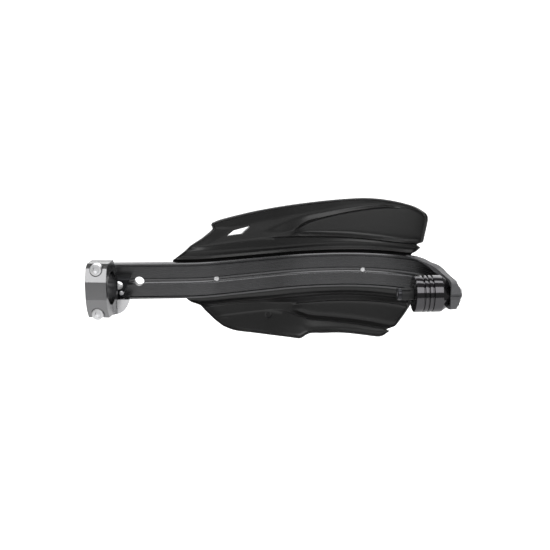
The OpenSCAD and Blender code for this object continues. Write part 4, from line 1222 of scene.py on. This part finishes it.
# White seamless paper: dull and even; a lift for camera and mirror rays keeps it white.
def studio_paper():
    material, tree = new_material("white_paper")
    paths = add_node(tree, "ShaderNodeLightPath")
    mirrored = add_node(tree, "ShaderNodeMath",
                        {0: (paths, "Is Glossy Ray"), 1: (paths, "Is Transmission Ray")},
                        {"operation": "MAXIMUM"})
    low = add_node(tree, "ShaderNodeMath", {0: (mirrored, 0), 1: MIRROR_LIFT}, {"operation": "MULTIPLY"})
    lift = add_node(tree, "ShaderNodeMath", {0: (paths, "Is Camera Ray"), 1: CAMERA_LIFT, 2: (low, 0)},
                    {"operation": "MULTIPLY_ADD"})
    paper = add_node(tree, "ShaderNodeBsdfDiffuse", {"Color": rgba(linear("#F4F4F4"))})
    glow = add_node(tree, "ShaderNodeEmission", {"Strength": (lift, 0)})
    both = add_node(tree, "ShaderNodeAddShader", {0: (paper, 0), 1: (glow, 0)})
    return close_material(material, tree, both)


def softbox(name, away, width, height, radiance):
    """Rectangular lamp, away from what it is turned to, whose face has the given radiance."""
    lamp = bpy.data.lights.new(name, "AREA")
    lamp.shape = "RECTANGLE"
    lamp.size, lamp.size_y = width, height
    lamp.energy = math.pi * width * height * radiance
    obj = bpy.data.objects.new(name, lamp)
    obj.location = LAMP_AIM + Vector(away)
    obj.rotation_mode = "QUATERNION"
    obj.rotation_quaternion = (-Vector(away)).to_track_quat("-Z", "Y")
    bpy.context.scene.collection.objects.link(obj)


class GUARD_OT_studio(bpy.types.Operator):
    """Sets the floor, backdrop, lamps, world and camera"""
    bl_idname = "guard.studio"
    bl_label = "Studio"

    def execute(self, context):
        scene = context.scene
        scene.view_settings.view_transform = "Standard"
        stage_plane("floor", Matrix.Translation((-0.12, 0.4, FLOOR_Z)), 1.8, 4)
        upright = Matrix.Rotation(math.pi / 2, 4, "X")
        stage_plane("backdrop", Matrix.Translation((-0.1, 2.2, 1.5)) @ upright, 3, 4)
        softbox("front_softbox", 1.5 * Vector((0, -math.cos(FRONT_UP), math.sin(FRONT_UP))), 2.2, 0.93, 2.5)
        softbox("rear_softbox", 2.0 * Vector((0, math.cos(REAR_UP), math.sin(REAR_UP))), 2.6, 1.5, 1.7)
        softbox("top_strip", (0, 0, 1.3), 2.2, 0.36, 3.0)
        world = bpy.data.worlds.new("studio")
        scene.world = world
        world.use_nodes = True
        tree = world.node_tree
        tree.nodes.clear()
        paths = add_node(tree, "ShaderNodeLightPath")
        strength = add_node(tree, "ShaderNodeMapRange",
                            {"Value": (paths, "Is Camera Ray"), "To Min": 0.2, "To Max": 1.0})
        sky = add_node(tree, "ShaderNodeBackground", {"Color": (1, 1, 1, 1), "Strength": (strength, 0)})
        add_node(tree, "ShaderNodeOutputWorld", {"Surface": (sky, 0)})
        lens = bpy.data.cameras.new("camera")
        lens.sensor_width = SENSOR
        lens.lens = LENS
        lens.clip_start, lens.clip_end = 0.01, 100
        camera = bpy.data.objects.new("camera", lens)
        camera.location = EYE
        camera.rotation_mode = "QUATERNION"
        camera.rotation_quaternion = (AIM - EYE).to_track_quat("-Z", "Y")
        scene.collection.objects.link(camera)
        scene.camera = camera
        return {"FINISHED"}


OPERATORS = (GUARD_OT_backbone, GUARD_OT_shield, GUARD_OT_end_guard, GUARD_OT_weight, GUARD_OT_expander,
             GUARD_OT_fasteners, GUARD_OT_clamp, GUARD_OT_link, GUARD_OT_studio)


class GUARD_PT_panel(bpy.types.Panel):
    """Lists the hand guard's pieces, sizes and colours"""
    bl_idname = "GUARD_PT_panel"
    bl_label = "Hand guard"
    bl_space_type = "VIEW_3D"
    bl_region_type = "UI"
    bl_category = "Hand guard"

    def draw(self, context):
        for group in (context.scene.guard_sizes, context.scene.guard_colours):
            box = self.layout.box()
            for name in group.bl_rna.properties.keys():
                if name not in ("rna_type", "name"):
                    box.prop(group, name)
        for operator in OPERATORS:
            self.layout.operator(operator.bl_idname)


CLASSES = (GuardSizes, GuardColours, *OPERATORS, GUARD_PT_panel)


def register():
    for cls in CLASSES:
        bpy.utils.register_class(cls)
    bpy.types.Scene.guard_sizes = PointerProperty(type=GuardSizes)
    bpy.types.Scene.guard_colours = PointerProperty(type=GuardColours)


def unregister():
    del bpy.types.Scene.guard_colours
    del bpy.types.Scene.guard_sizes
    for cls in reversed(CLASSES):
        bpy.utils.unregister_class(cls)


def main():
    register()
    bpy.ops.guard.backbone()
    bpy.ops.guard.shield()
    bpy.ops.guard.end_guard()
    bpy.ops.guard.weight()
    bpy.ops.guard.expander()
    bpy.ops.guard.fasteners()
    bpy.ops.guard.clamp()
    bpy.ops.guard.link()
    bpy.ops.guard.studio()


if __name__ == "__main__":
    main()
